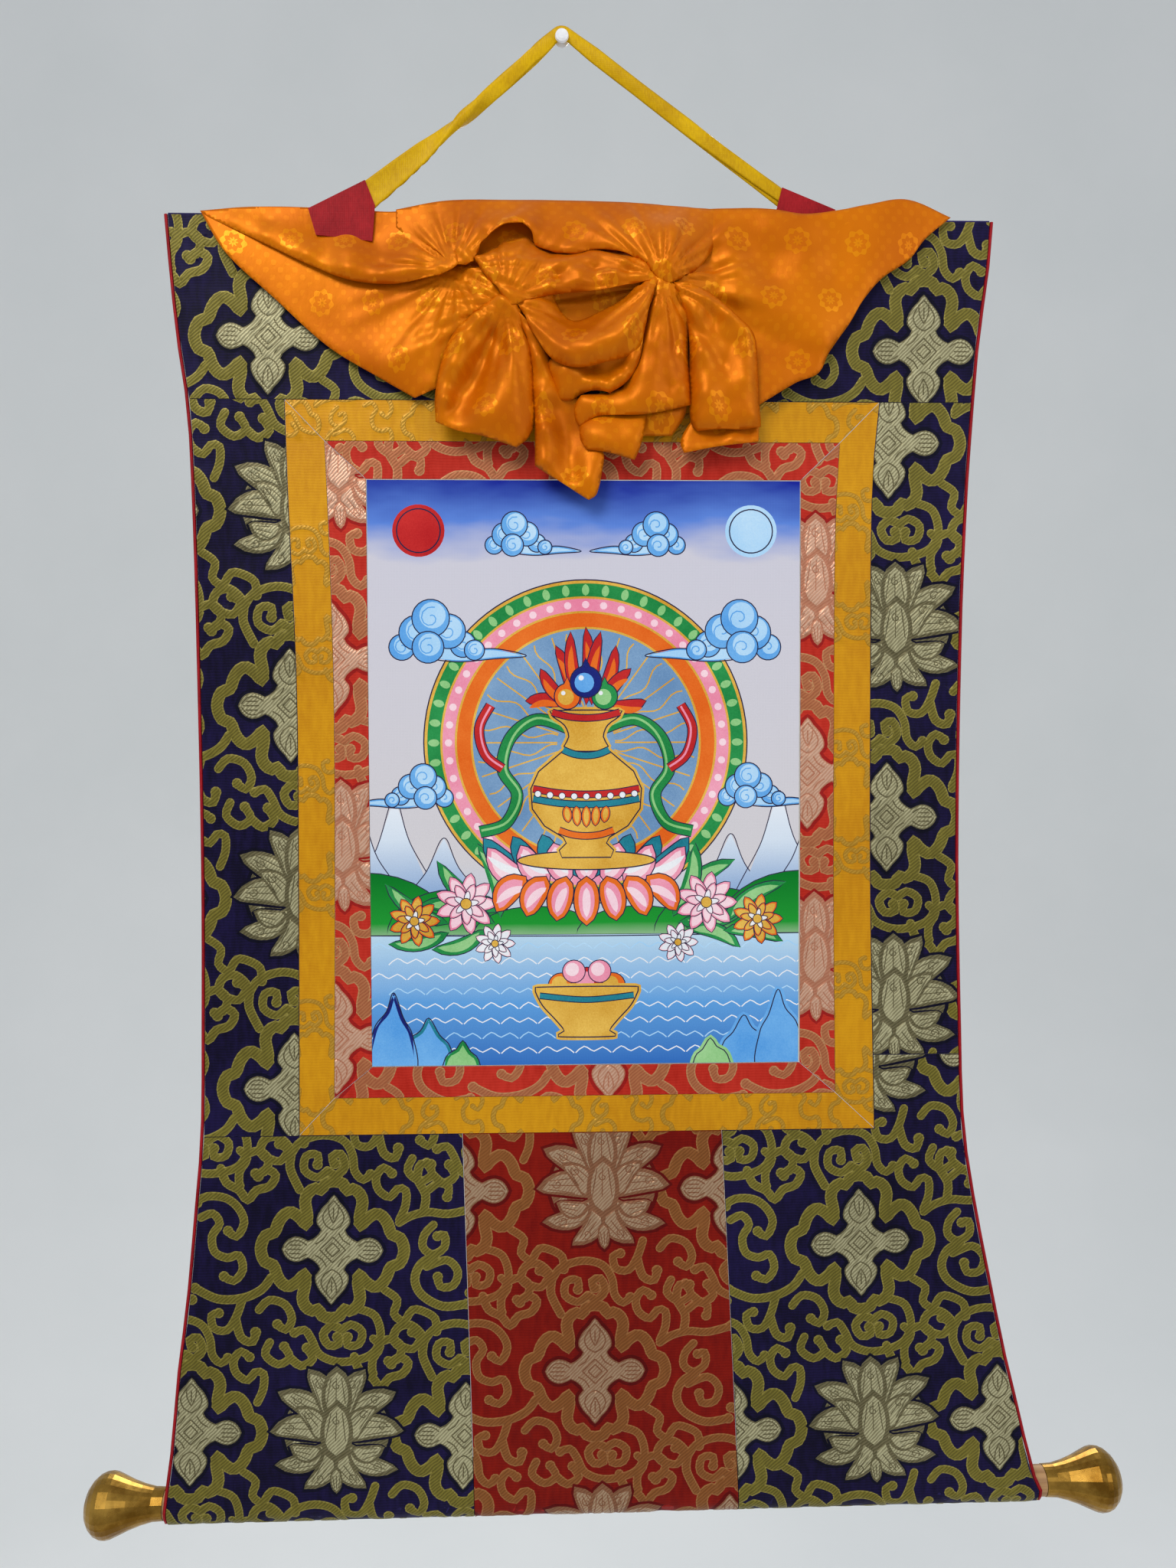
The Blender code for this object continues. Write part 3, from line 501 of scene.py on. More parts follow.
for at, size, colour, pale in (
    (mid(-13, -446), 9, "orange", "gold"), (mid(13, -446), 9, "green", "pale green"),
    (mid(0, -436), 11, "night", "cloud"),
):
    jewel = []
    for a in np.linspace(0, math.tau, 25)[:-1]:
        point = 0.5 if abs(a - math.pi / 2) < 0.2 else 0
        jewel.append((at[0] + size * math.cos(a), at[1] + size * (math.sin(a) + point)))
    fill_in(colour, jewel, None, 0.8)
    painted.append((pale, disc((at[0] - size * 0.1, at[1] - size * 0.05), size * 0.62, 16)))
    painted.append(("white", disc((at[0] - size * 0.3, at[1] + size * 0.25), size * 0.17, 10)))

# Rocks at the water's edge on both sides, and a bowl of fruit.
ROCK = ((-0.5, 0.4), (-0.15, 0.7), (0.05, 1), (0.3, 0.6), (0.55, 0.3))
for side in (-1, 1):
    for x, z, w, h, colour, pale in (
        (-112, -700, 30, 30, "teal", "cloud"), (-136, -696, 26, 44, "night", "cloud"),
        (-88, -706, 22, 20, "green", "pale green"),
    ):
        crest = [(x + w * dx, z + h * up) for dx, up in ROCK]
        rock = [(x - w * 0.6, z - 12), *crest, (x + w * 0.6, z - 12)]
        fill_in(colour, [mid(side * px, pz) for px, pz in rock], pale, 0.8, 2.4)
for x, z, r, colour, pale in (
    (-18, -648, 9, "orange", "gold"), (18, -648, 9, "orange", "gold"), (0, -646, 11, "red", "pink"),
    (-9, -638, 8, "pink", "pale pink"), (9, -638, 8, "pink", "pale pink"),
):
    fill_in(colour, disc(mid(x, z), r, 20), None, 0.7)
    painted.append((pale, disc(mid(x - 1.2, z + 1.4), r * 0.6, 14)))
vase_part((-684, 20), (-680, 16), (-672, 22), (-662, 31), (-652, 36), (-649, 36))
line_of("teal", [mid(-33, -655), mid(0, -658), mid(33, -655)], 3.4, True)


def inside(x, z, outline):
    """Which points lie in an outline."""
    found = np.zeros(np.shape(x), bool)
    for a, b in zip(outline, outline[1:] + outline[:1]):
        if a[1] != b[1]:
            crossing = (a[1] > z) != (b[1] > z)
            found ^= crossing & (x < (b[0] - a[0]) * (z - a[1]) / (b[1] - a[1]) + a[0])
    return found


def clipped(polygon, limits):
    """The part of a polygon where every limit is at or above zero."""
    for limit in limits:
        values = [limit(p[0], p[1]) for p in polygon]
        kept = []
        for i, (a, va) in enumerate(zip(polygon, values)):
            b, vb = polygon[(i + 1) % len(polygon)], values[(i + 1) % len(polygon)]
            if va >= 0:
                kept.append(a)
            if (va >= 0) != (vb >= 0):
                t = va / (va - vb)
                kept.append(tuple(ca + (cb - ca) * t for ca, cb in zip(a, b)))
        polygon = kept
        if len(polygon) < 3:
            return []
    return polygon


def top_colours(middles, polygons, colours):
    """For each point, the colour of the last polygon that covers it, or 0."""
    order = np.argsort(middles[:, 0])
    x, z = middles[order, 0], middles[order, 1]
    found = np.zeros(len(middles), int)
    for colour, polygon in zip(colours, polygons):
        xs, zs = [p[0] for p in polygon], [p[1] for p in polygon]
        first, last = np.searchsorted(x, (min(xs), max(xs)))
        near = first + np.flatnonzero((z[first:last] >= min(zs)) & (z[first:last] <= max(zs)))
        found[near[inside(x[near], z[near], polygon)]] = colour
    looks = np.zeros(len(middles), int)
    looks[order] = found
    return looks


def add_ring(points, runs, polygon):
    first, count = len(points), len(polygon)
    runs += [(first + i, first + (i + 1) % count) for i in range(count)]
    points += polygon


def smooth_edges(*rows):
    """A table of height, left and right x in mm, read smoothly every 2 mm, as in part.py."""
    rows = sorted(rows)
    heights, lefts, rights = [], [], []
    for i in range(len(rows) - 1):
        low, high = rows[i], rows[i + 1]
        before, after = rows[max(i - 1, 0)], rows[min(i + 2, len(rows) - 1)]
        span = high[0] - low[0]
        for t in np.linspace(0, 1, max(2, int(span / 2)), endpoint=i == len(rows) - 2):
            heights.append(low[0] + t * span)
            for k, found in ((1, lefts), (2, rights)):
                start = (high[k] - before[k]) / (high[0] - before[0])
                end = (after[k] - low[k]) / (after[0] - low[0])
                found.append(bend(low[k], span * start, high[k], span * end, t))
    return np.array(heights), np.array(lefts), np.array(rights), rows[-1], rows[0]


PICTURE_EDGES = smooth_edges((-297, -135.5, 164.5), (-704, -135.0, 165.0))
# The painted face lies this far in from the piping, in mm, and stands off the solid in metres.
PIPED, FACE_STAND = 0.4, 0.00030
# The roller climbs a little to the right, and the lower cloth goes round it by this turn.
ROLLER_MIDDLE, ROLLER_RISE, SLEEVE_TURN = 0.030, 0.005, math.radians(222)


def roller_height(x):
    return ROLLER_Z + ROLLER_RISE * (x - ROLLER_MIDDLE)


def on_cloth(points, rise):
    """Flat points in mm laid on the mount's front, and round the roller below it."""
    x, z, stand = points[:, 0] * MM, points[:, 1] * MM, rise * MM + FACE_STAND
    low = roller_height(x)
    turn = np.clip((low - z) / SLEEVE_RADIUS, 0, SLEEVE_TURN)
    radius = SLEEVE_RADIUS + CLOTH / 2 + stand
    wrapped = z < low
    y = np.where(wrapped, ROLLER_Y - radius * np.cos(turn), front_y(x, np.maximum(z, low)) - stand)
    return np.c_[x, y, np.where(wrapped, low - radius * np.sin(turn), z)]


def new_piece(name, verts, faces, materials, looks=None):
    """A smooth mesh of its own, with one material or with one for each face."""
    data = bpy.data.meshes.new(name)
    data.from_pydata(verts, [], faces)
    for m in materials:
        data.materials.append(m)
    if looks is not None:
        data.polygons.foreach_set("material_index", looks)
    data.polygons.foreach_set("use_smooth", [True] * len(data.polygons))
    piece = bpy.data.objects.new(name, data)
    bpy.context.scene.collection.objects.link(piece)
    return piece


def sew_on(piece):
    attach(piece, "root")
    return piece


def painted_sheet():
    """All the painted forms on one sheet, cut to the panel between its pipings."""
    (top, left, right), (foot, _, _) = PICTURE_EDGES[3:]
    left, right, top, foot = left + PIPED, right - PIPED, top - PIPED, foot + PIPED
    limits = (lambda x, z: x - left, lambda x, z: right - x, lambda x, z: top - z, lambda x, z: z - foot)
    points, runs, polygons, colours = [], [], [], []
    for colour, polygon in painted:
        polygon = clipped([tuple(map(float, p)) for p in polygon], limits)
        if polygon:
            add_ring(points, runs, polygon)
            polygons.append(polygon)
            colours.append(PAINT_NAMES.index(colour))
    add_ring(points, runs, [(left, foot), (right, foot), (right, top), (left, top)])
    points += [(x, z) for x in np.arange(left + 7, right - 4, 14) for z in np.arange(foot + 7, top - 4, 14)]
    spots, _, faces, _, _, _ = delaunay_2d_cdt([Vector(p) for p in points], runs, [], 0, 1e-3, False)
    spots, triangles = np.array([s[:] for s in spots]), np.array(faces)
    looks = top_colours(spots[triangles].mean(1), polygons, colours)
    places = on_cloth(spots, np.zeros(len(spots))).tolist()
    piece = new_piece("painted_face", places, triangles.tolist(), list(PAINTS.values()), looks)
    return sew_on(piece)


picture_face = painted_sheet()

# ---------------------------------------------------------------- The cream piping
# A thin cotton cord in a fold of cream cotton, let into the seam round the picture in
# four lengths.


def satin(name, dark, light, roughness=0.5, patch=9.0, sheen=0.1):
    """A silk or cotton cloth: uneven dye, fine threads, and a soft sheen."""
    made = Nodes(name).set(Roughness=roughness, Metallic=0.0, Specular_IOR_Level=0.12)
    made.set(Sheen_Weight=sheen, Sheen_Roughness=0.4, Sheen_Tint=(*light, 1.0))
    broad = made.noise(made.place(), patch, 3.0)
    fine = made.noise(made.place((1, 1, 0.35)), 900.0, 2.0)
    mixed = made.math("ADD", made.math("MULTIPLY", broad, 0.65), made.math("MULTIPLY", fine, 0.35))
    made.colour(made.ramp(mixed, (0.35, dark), (0.65, light)))
    made.bump(weave(made, 700, 900), 0.0001, 0.5)
    return made.made


CREAM = satin("cream_piping", srgb(170, 140, 140), srgb(205, 182, 178), 0.6, 90)
for side in ("left", "right", "top", "bottom"):
    show("picture_piping_" + side, CREAM)

# ---------------------------------------------------------------- The red inner border
# Four strips of figured silk, bright red with rose and tan threads, mitred and sewn
# round the picture. It is cut from the same pattern as the rest of the mount: a cross in
# a lobed frame, a lotus, and scrolling vines between them, staggered from row to row.
COLUMN, ROW = 96.0, 132.0
VINE, FRAME_WIDTH = 6.4, 8.6
FRAME_LOBES = ((0, 48.5), (6, 47), (9, 42), (13, 43.5), (18, 40), (20, 34), (18.5, 25), (18.4, 17),
               (23, 22), (29, 26), (34, 24.5), (38, 19), (41, 11.5), (47, 9), (50, 0))
# Each vine is the run of its middle line, in mm from the middle of the cross.
VINES = (
    ((-24, 42), (-31, 57), (-31, 70), (-40, 79), (-49, 77), (-52, 68), (-46, 63)),
    ((-31, 66), (-24, 76), (-9, 81), (5, 78), (12, 68), (14, 56), (20, 50), (25, 54)),
    ((-5, 56), (-12, 51), (-21, 56), (-20, 66), (-12, 67), (-12, 60)),
    ((-5, 56), (1, 53), (7, 59), (4, 68), (-2, 66), (0, 61)),
    ((46, 22), (50, 32), (50, 43), (44, 44), (39, 38), (31, 43), (29, 52), (34, 59), (40, 55)),
    ((46, 20), (54, 25), (66, 28), (80, 27), (97, 31)),
    ((63, 29), (64, 40), (58, 52), (60, 62), (67, 62)),
    ((66, 44), (73, 49), (80, 46), (79, 39)),
    ((70, 19), (64, 12), (63, 3), (70, -2), (78, 3), (78, 12), (73, 11)),
    ((72, -3), (62, -9), (58, -20), (63, -31), (78, -39), (95, -37)),
    ((66, -11), (80, -6), (88, -14), (85, -24), (76, -25), (74, -18)),
    ((37, -28), (46, -35), (44, -45), (51, -50), (57, -42), (65, -43), (73, -48), (74, -57)),
    ((-42, -20), (-49, -29), (-62, -35), (-79, -36), (-95, -29)),
    ((-97, 31), (-88, 36), (-75, 35), (-66, 28), (-62, 18), (-67, 8), (-73, 12)),
    (
        (-92, 21), (-84, 24), (-79, 17), (-84, 8), (-82, -3), (-73, -7), (-65, -5), (-62, -15), (-68, -23),
        (-75, -20)
    ),
    ((-79, 56), (-75, 46), (-66, 41), (-60, 34), (-54, 41), (-45, 44), (-41, 52), (-48, 56), (-53, 51)),
    ((-66, 69), (-61, 63), (-66, 54), (-66, 44)),
    ((-62, -37), (-66, -49), (-72, -58), (-81, -57), (-83, -48), (-78, -46)),
    ((-66, -50), (-62, -63), (-54, -66), (-52, -59)),
    ((-50, -43), (-43, -36), (-32, -39), (-27, -49), (-31, -57), (-37, -53)),
    ((20, -42), (31, -47), (35, -62), (28, -75), (8, -80), (-7, -75), (-13, -64), (-18, -57), (-25, -59)),
    ((8, -57), (1, -54), (-5, -60), (-1, -68), (6, -67), (5, -62)),
    ((8, -57), (14, -53), (22, -58), (20, -67), (12, -68), (12, -62)),
    ((-42, -66), (-45, -75), (-36, -82), (-28, -77), (-32, -69)),
    ((-28, -77), (-20, -83), (-12, -78), (-16, -70)),
    ((34, -66), (43, -63), (50, -69), (47, -78), (41, -79)),
    ((49, -68), (58, -70), (63, -62), (57, -58)),
)
# These vines make the medallion between two crosses, and give way to the lotus.
BY_MEDALLION = (5, 6, 7, 8, 9, 10, 12, 13, 14)
# Half of the cross's upper arm and side arm, and the lotus petals: foot, tip, width, bow.
CROSS_QUARTER = ((0, 39), (4, 34), (8.5, 29), (11.5, 23), (11.5, 18), (8.5, 14), (10, 11), (14, 7.5),
                 (17, 6), (21, 8), (26, 9), (31, 7), (34, 3.5), (35.5, 0))
CROSS_LINES = (
    ((0, 35), (5, 29), (7.5, 23), (5, 17), (0, 14)), ((3.5, 32), (3, 25), (0, 19)), ((0, 30), (0, 22)),
    ((4, 12), (7, 7), (12, 4)), ((0, 9), (5, 4), (9, 0)), ((0, 5), (3, 2), (5, 0)),
    ((18, 3), (23, 6), (29, 5.5), (33, 1)), ((21, 0), (32, 0)), ((22, 3), (30, 3)),
)
PETALS = (
    ((-5, -6), (-47, -2), 25, -6), ((5, -6), (47, 0), 25, 6),
    ((-5, 0), (-42, 27), 25, -5), ((5, 0), (41, 28), 25, 5),
    ((-4, 6), (-21, 44), 23, -4), ((4, 6), (19, 44), 23, 4),
    ((-5, -10), (-43, -26), 21, 6), ((5, -10), (44, -28), 21, -6),
    ((-3, -12), (-22, -43), 20, 6), ((3, -12), (22, -42), 20, -6),
    ((0, -26), (1, -46), 12, 0), ((0, 4), (-1, 46), 30, 0),
    ((-10, -9), (-29, 17), 20, -5), ((10, -9), (28, 18), 20, 5),
    ((-9, -15), (-33, -12), 18, 4), ((9, -15), (34, -12), 18, -4),
    ((0, -24), (0, 22), 32, 0),
)
# How high each woven colour stands, in mm: ground, dark outline, vine edge, vine, darker silver, silver.
# The vine edge shows as a lane along each vine and frame: lighter than the vine in the navy and red
# colourways, a painted highlight on the cord, and a little darker in the gold. The darker silver is
# painted shade round each silver figure, between its petals and in its embossed lines.
GROUND, OUTLINE, VINE_EDGE, VINE_FILL, SILVER_SHADE, SILVER_FILL = range(6)
WOVEN_RISE = (0.0, -0.05, 0.10, 0.36, 0.16, 0.60)


def mirrored(quarter):
    right = list(quarter) + [(x, -z) for x, z in reversed(quarter[:-1])]
    return right + [(-x, z) for x, z in reversed(right[1:-1])]


def figure_of_cell(vine_width, frame_width, motifs=True):
    """Painted in order: two crosses with their frames and vines, and one lotus."""
    places = [(0, 0, False), (COLUMN, -ROW, True)]
    vine_runs, frames = [], []
    for dx, dz, beside_lotus in places:
        for i, v in enumerate(VINES):
            if beside_lotus and (i in BY_MEDALLION):
                continue
            width = vine_width * (0.94 if i % 3 else 1.0)
            vine_runs.append((rounded([(x + dx, z + dz) for x, z in v], 3.2), width))
        frames.append(rounded([(x + dx, z + dz) for x, z in mirrored(FRAME_LOBES)], 3.2, True))
    painted = []
    inner = 1.0 - 1.7 / vine_width
    # Vines and frames go down first in the edge colour, and the narrower fill leaves a lane of it along both
    # edges: a painted highlight on the cord where the edge colour is the lighter.
    for run, width in vine_runs:
        painted += [(VINE_EDGE, q) for q in ribbon(run, width)]
        painted.append((VINE_EDGE, disc(run[-1], width * 0.62)))
        painted.append((VINE_EDGE, disc(run[0], width * 0.5)))
    for frame_run in frames:
        painted += [(VINE_EDGE, q) for q in ribbon(frame_run, frame_width, True)]
    for run, width in vine_runs:
        painted += [(VINE_FILL, q) for q in ribbon(run, width * inner, halves=True)]
        painted.append((VINE_FILL, disc(run[-1], width * 0.62 - 0.9)))
        painted.append((VINE_FILL, disc(run[0], width * 0.5 - 0.9)))
    for frame_run in frames:
        painted += [(VINE_FILL, q) for q in ribbon(frame_run, frame_width - 1.8, True, halves=True)]
    if not motifs:
        return painted
    for dx, dz, _ in places:
        cross = rounded([(x + dx, z + dz) for x, z in mirrored(CROSS_QUARTER)], 3.0, True)
        # Each cross is a dark outline, then the whole cross in the darker silver, painted shade that shows as its
        # rim and its embossed lines, under a lighter silver middle.
        painted.append((OUTLINE, [tuple(p) for p in lanes(cross, 5.0, True)[0]]))
        painted.append((SILVER_SHADE, [tuple(p) for p in cross]))
        painted.append((SILVER_FILL, [tuple(p) for p in lanes(cross, 1.7, True)[2]]))
        for line in CROSS_LINES:
            for sx in (1, -1):
                for sz in (1, -1):
                    run = rounded([(sx * x + dx, sz * z + dz) for x, z in line], 3.0)
                    painted += [(SILVER_SHADE, q) for q in ribbon(run, 1.0)]
    # The lotus: a round body with a curled rim, then its petals, each with lines and a curl. The body,
    # each petal's rim, its lines and its curl are in the darker silver: painted shade between and along the
    # petals.
    body = [(37 * math.cos(a), -1 + 35 * math.sin(a)) for a in np.linspace(0, math.tau, 33)[:-1]]
    lotus = [(OUTLINE, [(x * 1.07, z * 1.07) for x, z in body]), (SILVER_SHADE, body)]
    for k in range(14):
        a = math.tau * (k + 0.5) / 14 + 0.12
        rim = ((r, a + r * 0.012) for r in (0, 4, 8))
        curl = [((27 + r) * math.cos(turn), -1 + (25 + r) * math.sin(turn)) for r, turn in rim]
        lotus += [(SILVER_FILL, q) for q in ribbon(rounded(curl, 3.0), 7.0)]
    for foot, tip, width, bow in PETALS:
        lotus.append((OUTLINE, petal(foot, (tip[0] * 1.05, tip[1] * 1.05), width + 4.4, bow)))
    for foot, tip, width, bow in PETALS:
        lotus.append((SILVER_SHADE, petal(foot, tip, width, bow)))
        lotus.append((SILVER_FILL, petal(foot, tip, width, bow, 1.0)))
        foot, tip = np.array(foot, float), np.array(tip, float)
        across = np.array([-(tip - foot)[1], (tip - foot)[0]]) / np.linalg.norm(tip - foot)
        for side in (-0.2, 0.02, 0.24):
            low = foot * 0.65 + tip * 0.35 + across * (bow * 0.9 + side * width)
            high = foot * 0.2 + tip * 0.8 + across * (bow * 0.66 + side * width * 0.55)
            lotus += [(SILVER_SHADE, q) for q in ribbon(rounded([low, high], 6.0), 0.7)]
        if width > 19:
            middle = foot * 0.34 + tip * 0.66 + across * bow * 0.8
            turn = math.atan2(tip[1], tip[0])
            angles = [turn + 0.62 * k for k in range(11)]
            curl = [
                middle + (3.6 - 0.28 * k) * np.array([math.cos(a), math.sin(a)]) for k, a in enumerate(angles)
            ]
            lotus += [(SILVER_SHADE, q) for q in ribbon(rounded(curl, 2.0), 0.8)]
    painted += [(m, [(x + 6, z + 3 - ROW) for x, z in polygon]) for m, polygon in lotus]
    return painted


def woven_cell(painted):
    """Triangles of one cell, which repeats sideways and, shifted by half, downwards."""
    foot, top = -1.5 * ROW, 0.5 * ROW
    limits = (lambda x, z: x + COLUMN, lambda x, z: COLUMN - x, lambda x, z: z - foot, lambda x, z: top - z)
    points, runs, polygons, colours = [], [], [], []
    for colour, polygon in painted:
        for rows in (-1, 0, 1):
            for turns in (-1, 0, 1):
                dx, dz = turns * 2 * COLUMN, rows * 2 * ROW
                xs, zs = [x + dx for x, _ in polygon], [z + dz for _, z in polygon]
                if min(xs) >= COLUMN or max(xs) <= -COLUMN or min(zs) >= top or max(zs) <= foot:
                    continue
                moved = clipped([(x + dx, z + dz) for x, z in polygon], limits)
                if moved:
                    add_ring(points, runs, moved)
                    polygons.append(moved)
                    colours.append(colour)
    for x in np.arange(-COLUMN, COLUMN, 8.0):
        points += [(x, foot), (x, top)]
    for z in np.arange(foot + 8.25, top - 1, 8.25):
        points += [(-COLUMN, z), (COLUMN, z)]
        points += [(x + 4.0, z) for x in np.arange(-COLUMN, COLUMN - 1, 8.0)]
    add_ring(points, runs, [(-COLUMN, foot), (COLUMN, foot), (COLUMN, top), (-COLUMN, top)])
    spots, _, faces, _, _, _ = delaunay_2d_cdt([Vector(p) for p in points], runs, [], 0, 1e-4, False)
    spots, triangles = np.array([s[:] for s in spots]), np.array(faces)
    return spots, triangles, top_colours(spots[triangles].mean(1), polygons, colours)


def woven_panel(cell, origin, tilt, row_scale, limits, box, scale=1.0):
    """The cell repeated over a panel and cut at its edges, still flat: x and z in mm."""
    spots, triangles, looks = cell
    turn = np.array([[math.cos(tilt), -math.sin(tilt)], [math.sin(tilt), math.cos(tilt)]])
    low, high = np.array(box[0]), np.array(box[1])
    found, colours = [], []
    reach = int(2 + 1.5 * max(high - low) / (ROW * scale))
    for row in range(-reach, reach + 1):
        for turns in range(-reach, reach + 1):
            shift = np.array([turns * 2 * COLUMN, row * 2 * ROW])
            place = ((spots + shift) * (scale, scale * row_scale)) @ turn.T + origin
            if (place.max(0) < low).any() or (place.min(0) > high).any():
                continue
            values = np.array([limit(place[:, 0], place[:, 1]) for limit in limits])
            inside_all = (values >= 0).all(0)
            whole = inside_all[triangles].all(1)
            found += [[tuple(place[i]) for i in t] for t in triangles[whole]]
            colours += list(looks[whole])
            outside_one = (values[:, triangles] < 0).all(2).any(0)
            for t, look in zip(triangles[~whole & ~outside_one], looks[~whole & ~outside_one]):
                piece = clipped([tuple(place[i]) for i in t], limits)
                if len(piece) > 2:
                    found.append(piece)
                    colours.append(look)
    return found, colours


def weld(polygons, colours, step=0.02):
    """Shared points, faces, colours and the height of each point."""
    index, points, faces, looks = {}, [], [], []
    for polygon, look in zip(polygons, colours):
        face = []
        for x, z in polygon:
            key = (round(x / step), round(z / step))
            if key not in index:
                index[key] = len(points)
                points.append((x, z))
            if index[key] not in face:
                face.append(index[key])
        if len(face) > 2:
            faces.append(face)
            looks.append(look)
    total, count = np.zeros(len(points)), np.zeros(len(points))
    for face, look in zip(faces, looks):
        for i in face:
            total[i] += WOVEN_RISE[look]
            count[i] += 1
    return np.array(points), faces, looks, total / np.maximum(count, 1)


def between(edges, z, side):
    """The left (1) or right (2) edge at heights z in mm."""
    return np.interp(z, edges[0], edges[side])


def brocade_face(name, parts, palette, relief=1.0):
    """One panel's woven face, from parts of (cell, origin, tilt, row scale, limits, box, scale)."""
    polygons, colours = [], []
    for part in parts:
        more, looks = woven_panel(*part)
        polygons += more
        colours += looks
    points, faces, looks, rise = weld(polygons, colours)
    return sew_on(new_piece(name, on_cloth(points, rise * relief).tolist(), faces, palette, looks))


def thread(name, dark, light, roughness, metallic, slant, depth):
    """A woven colour: slanted floats, thread to thread change and a broad wear."""
    made = Nodes(name).set(Roughness=roughness, Metallic=metallic, Specular_IOR_Level=0.2 if metallic else 0.08)
    place = made.place(turn=(0, slant, 0))
    floats = made.add(
        "TexWave", {"Vector": place}, bands_direction="Z", Scale=520.0 * PER_METRE, Distortion=2.5, Detail=2.0
    )
    grain = made.noise(made.place((1, 1, 0.3), (0, slant, 0)), 260.0, 3.0)
    wear = made.noise(made.place(), 11, 3.0)
    strength = 0.30 if slant else 0.10
    uneven = made.math("MULTIPLY", made.math("ADD", grain, wear), 0.5 - strength / 2)
    mixed = made.math("ADD", made.math("MULTIPLY", floats.outputs["Fac"], strength), uneven)
    made.colour(made.ramp(mixed, (0.36, dark), (0.64, light)))
    made.bump(made.math("ADD", floats.outputs["Fac"], grain), depth, 0.6 if slant else 0.3)
    return made.made


# Every strip and panel of brocade stops this far from its seams, in mm.
CUT = 0.25


def border_limits(outer, inner, side):
    """Limits of one mitred strip between two edge tables."""
    (top, left, right), (foot, foot_left, foot_right) = outer[3:]
    (in_top, in_left, in_right), (in_foot, in_foot_left, in_foot_right) = inner[3:]

    def mitre(a, b, sign):
        length = math.hypot(b[0] - a[0], b[1] - a[1])
        return lambda x, z: sign * ((b[0] - a[0]) * (z - a[1]) - (b[1] - a[1]) * (x - a[0])) / length - CUT

    corners = {
        "top left": ((left, top), (in_left, in_top)),
        "top right": ((right, top), (in_right, in_top)),
        "foot left": ((foot_left, foot), (in_foot_left, in_foot)),
        "foot right": ((foot_right, foot), (in_foot_right, in_foot)),
    }
    if side == "top":
        return (lambda x, z: top - CUT - z, lambda x, z: z - in_top - CUT,
                mitre(*corners["top left"], 1), mitre(*corners["top right"], -1))
    if side == "bottom":
        return (lambda x, z: in_foot - CUT - z, lambda x, z: z - foot - CUT,
                mitre(*corners["foot left"], -1), mitre(*corners["foot right"], 1))
    if side == "left":
        return (lambda x, z: x - between(outer, z, 1) - CUT, lambda x, z: between(inner, z, 1) - CUT - x,
                mitre(*corners["top left"], -1), mitre(*corners["foot left"], 1))
    return (lambda x, z: between(outer, z, 2) - CUT - x, lambda x, z: x - between(inner, z, 2) - CUT,
            mitre(*corners["top right"], 1), mitre(*corners["foot right"], -1))


def border(kind, ground, palette, edges, figure, strips):
    """Four mitred strips with their woven faces; each strip's origin, cut size and what it hangs from.
    The cut size and what it hangs from are not used.
    """
    outer, inner = edges
    repeat, scale, relief = figure
    box = ((outer[1].min() - 2, outer[0][0] - 2), (outer[2].max() + 2, outer[0][-1] + 2))
    for side, (origin, flat, held_on) in strips.items():
        name = f"{kind}_border_{side}"
        show(name, ground)
        part = (repeat, origin, 0.0, 1.0, border_limits(outer, inner, side), box, scale)
        face = brocade_face(f"{kind}_border_face_{side}", [part], palette, relief)


RED_EDGES = smooth_edges(
    (-271, -163.6, 191.8), (-330, -161.5, 189), (-440, -159.1, 188.5), (-585, -159.8, 188.8),
    (-726, -161.6, 190.6)
)
# The tan edge colour is lighter than the tan vine: a painted highlight along the cords. The pale rose used round
# the figures and for their lines is darker than the pale rose floats: painted shade.
BRIGHT_RED_PALETTE = [
    thread("bright_red_floats", srgb(170, 34, 22), srgb(194, 50, 37), 0.42, 0.0, 0.0, 0.00008),
    thread("bright_red_outline", srgb(140, 22, 20), srgb(160, 32, 28), 0.5, 0.0, 0.0, 0.00005),
    thread("tan_edge_highlight", srgb(175, 119, 79), srgb(192, 138, 93), 0.42, 0.2, 0.5, 0.00012),
    thread("tan_vine", srgb(158, 89, 56), srgb(177, 110, 71), 0.46, 0.2, 0.7, 0.0002),
    thread("pale_rose_shade", srgb(174, 110, 83), srgb(186, 127, 99), 0.42, 0.3, 0.6, 0.00012),
    thread("pale_rose_floats", srgb(192, 140, 113), srgb(214, 172, 146), 0.34, 0.35, 0.8, 0.00022),
]
cell = woven_cell(figure_of_cell(VINE, FRAME_WIDTH))
RED = satin("red_ground", srgb(150, 22, 16), srgb(190, 38, 30), 0.5, 14)
border("red", RED, BRIGHT_RED_PALETTE, (RED_EDGES, PICTURE_EDGES), (cell, 1.0, 0.7), {
    "left": ((-160, -420), (0.027, 0.43), "gold_border_left"),
    "right": ((170, -500), (0.027, 0.43), "gold_border_right"),
    "top": ((14, -330), (0.327, 0.026), "gold_border_top"),
    "bottom": ((30, -690), (0.327, 0.022), "red_border_left"),
})

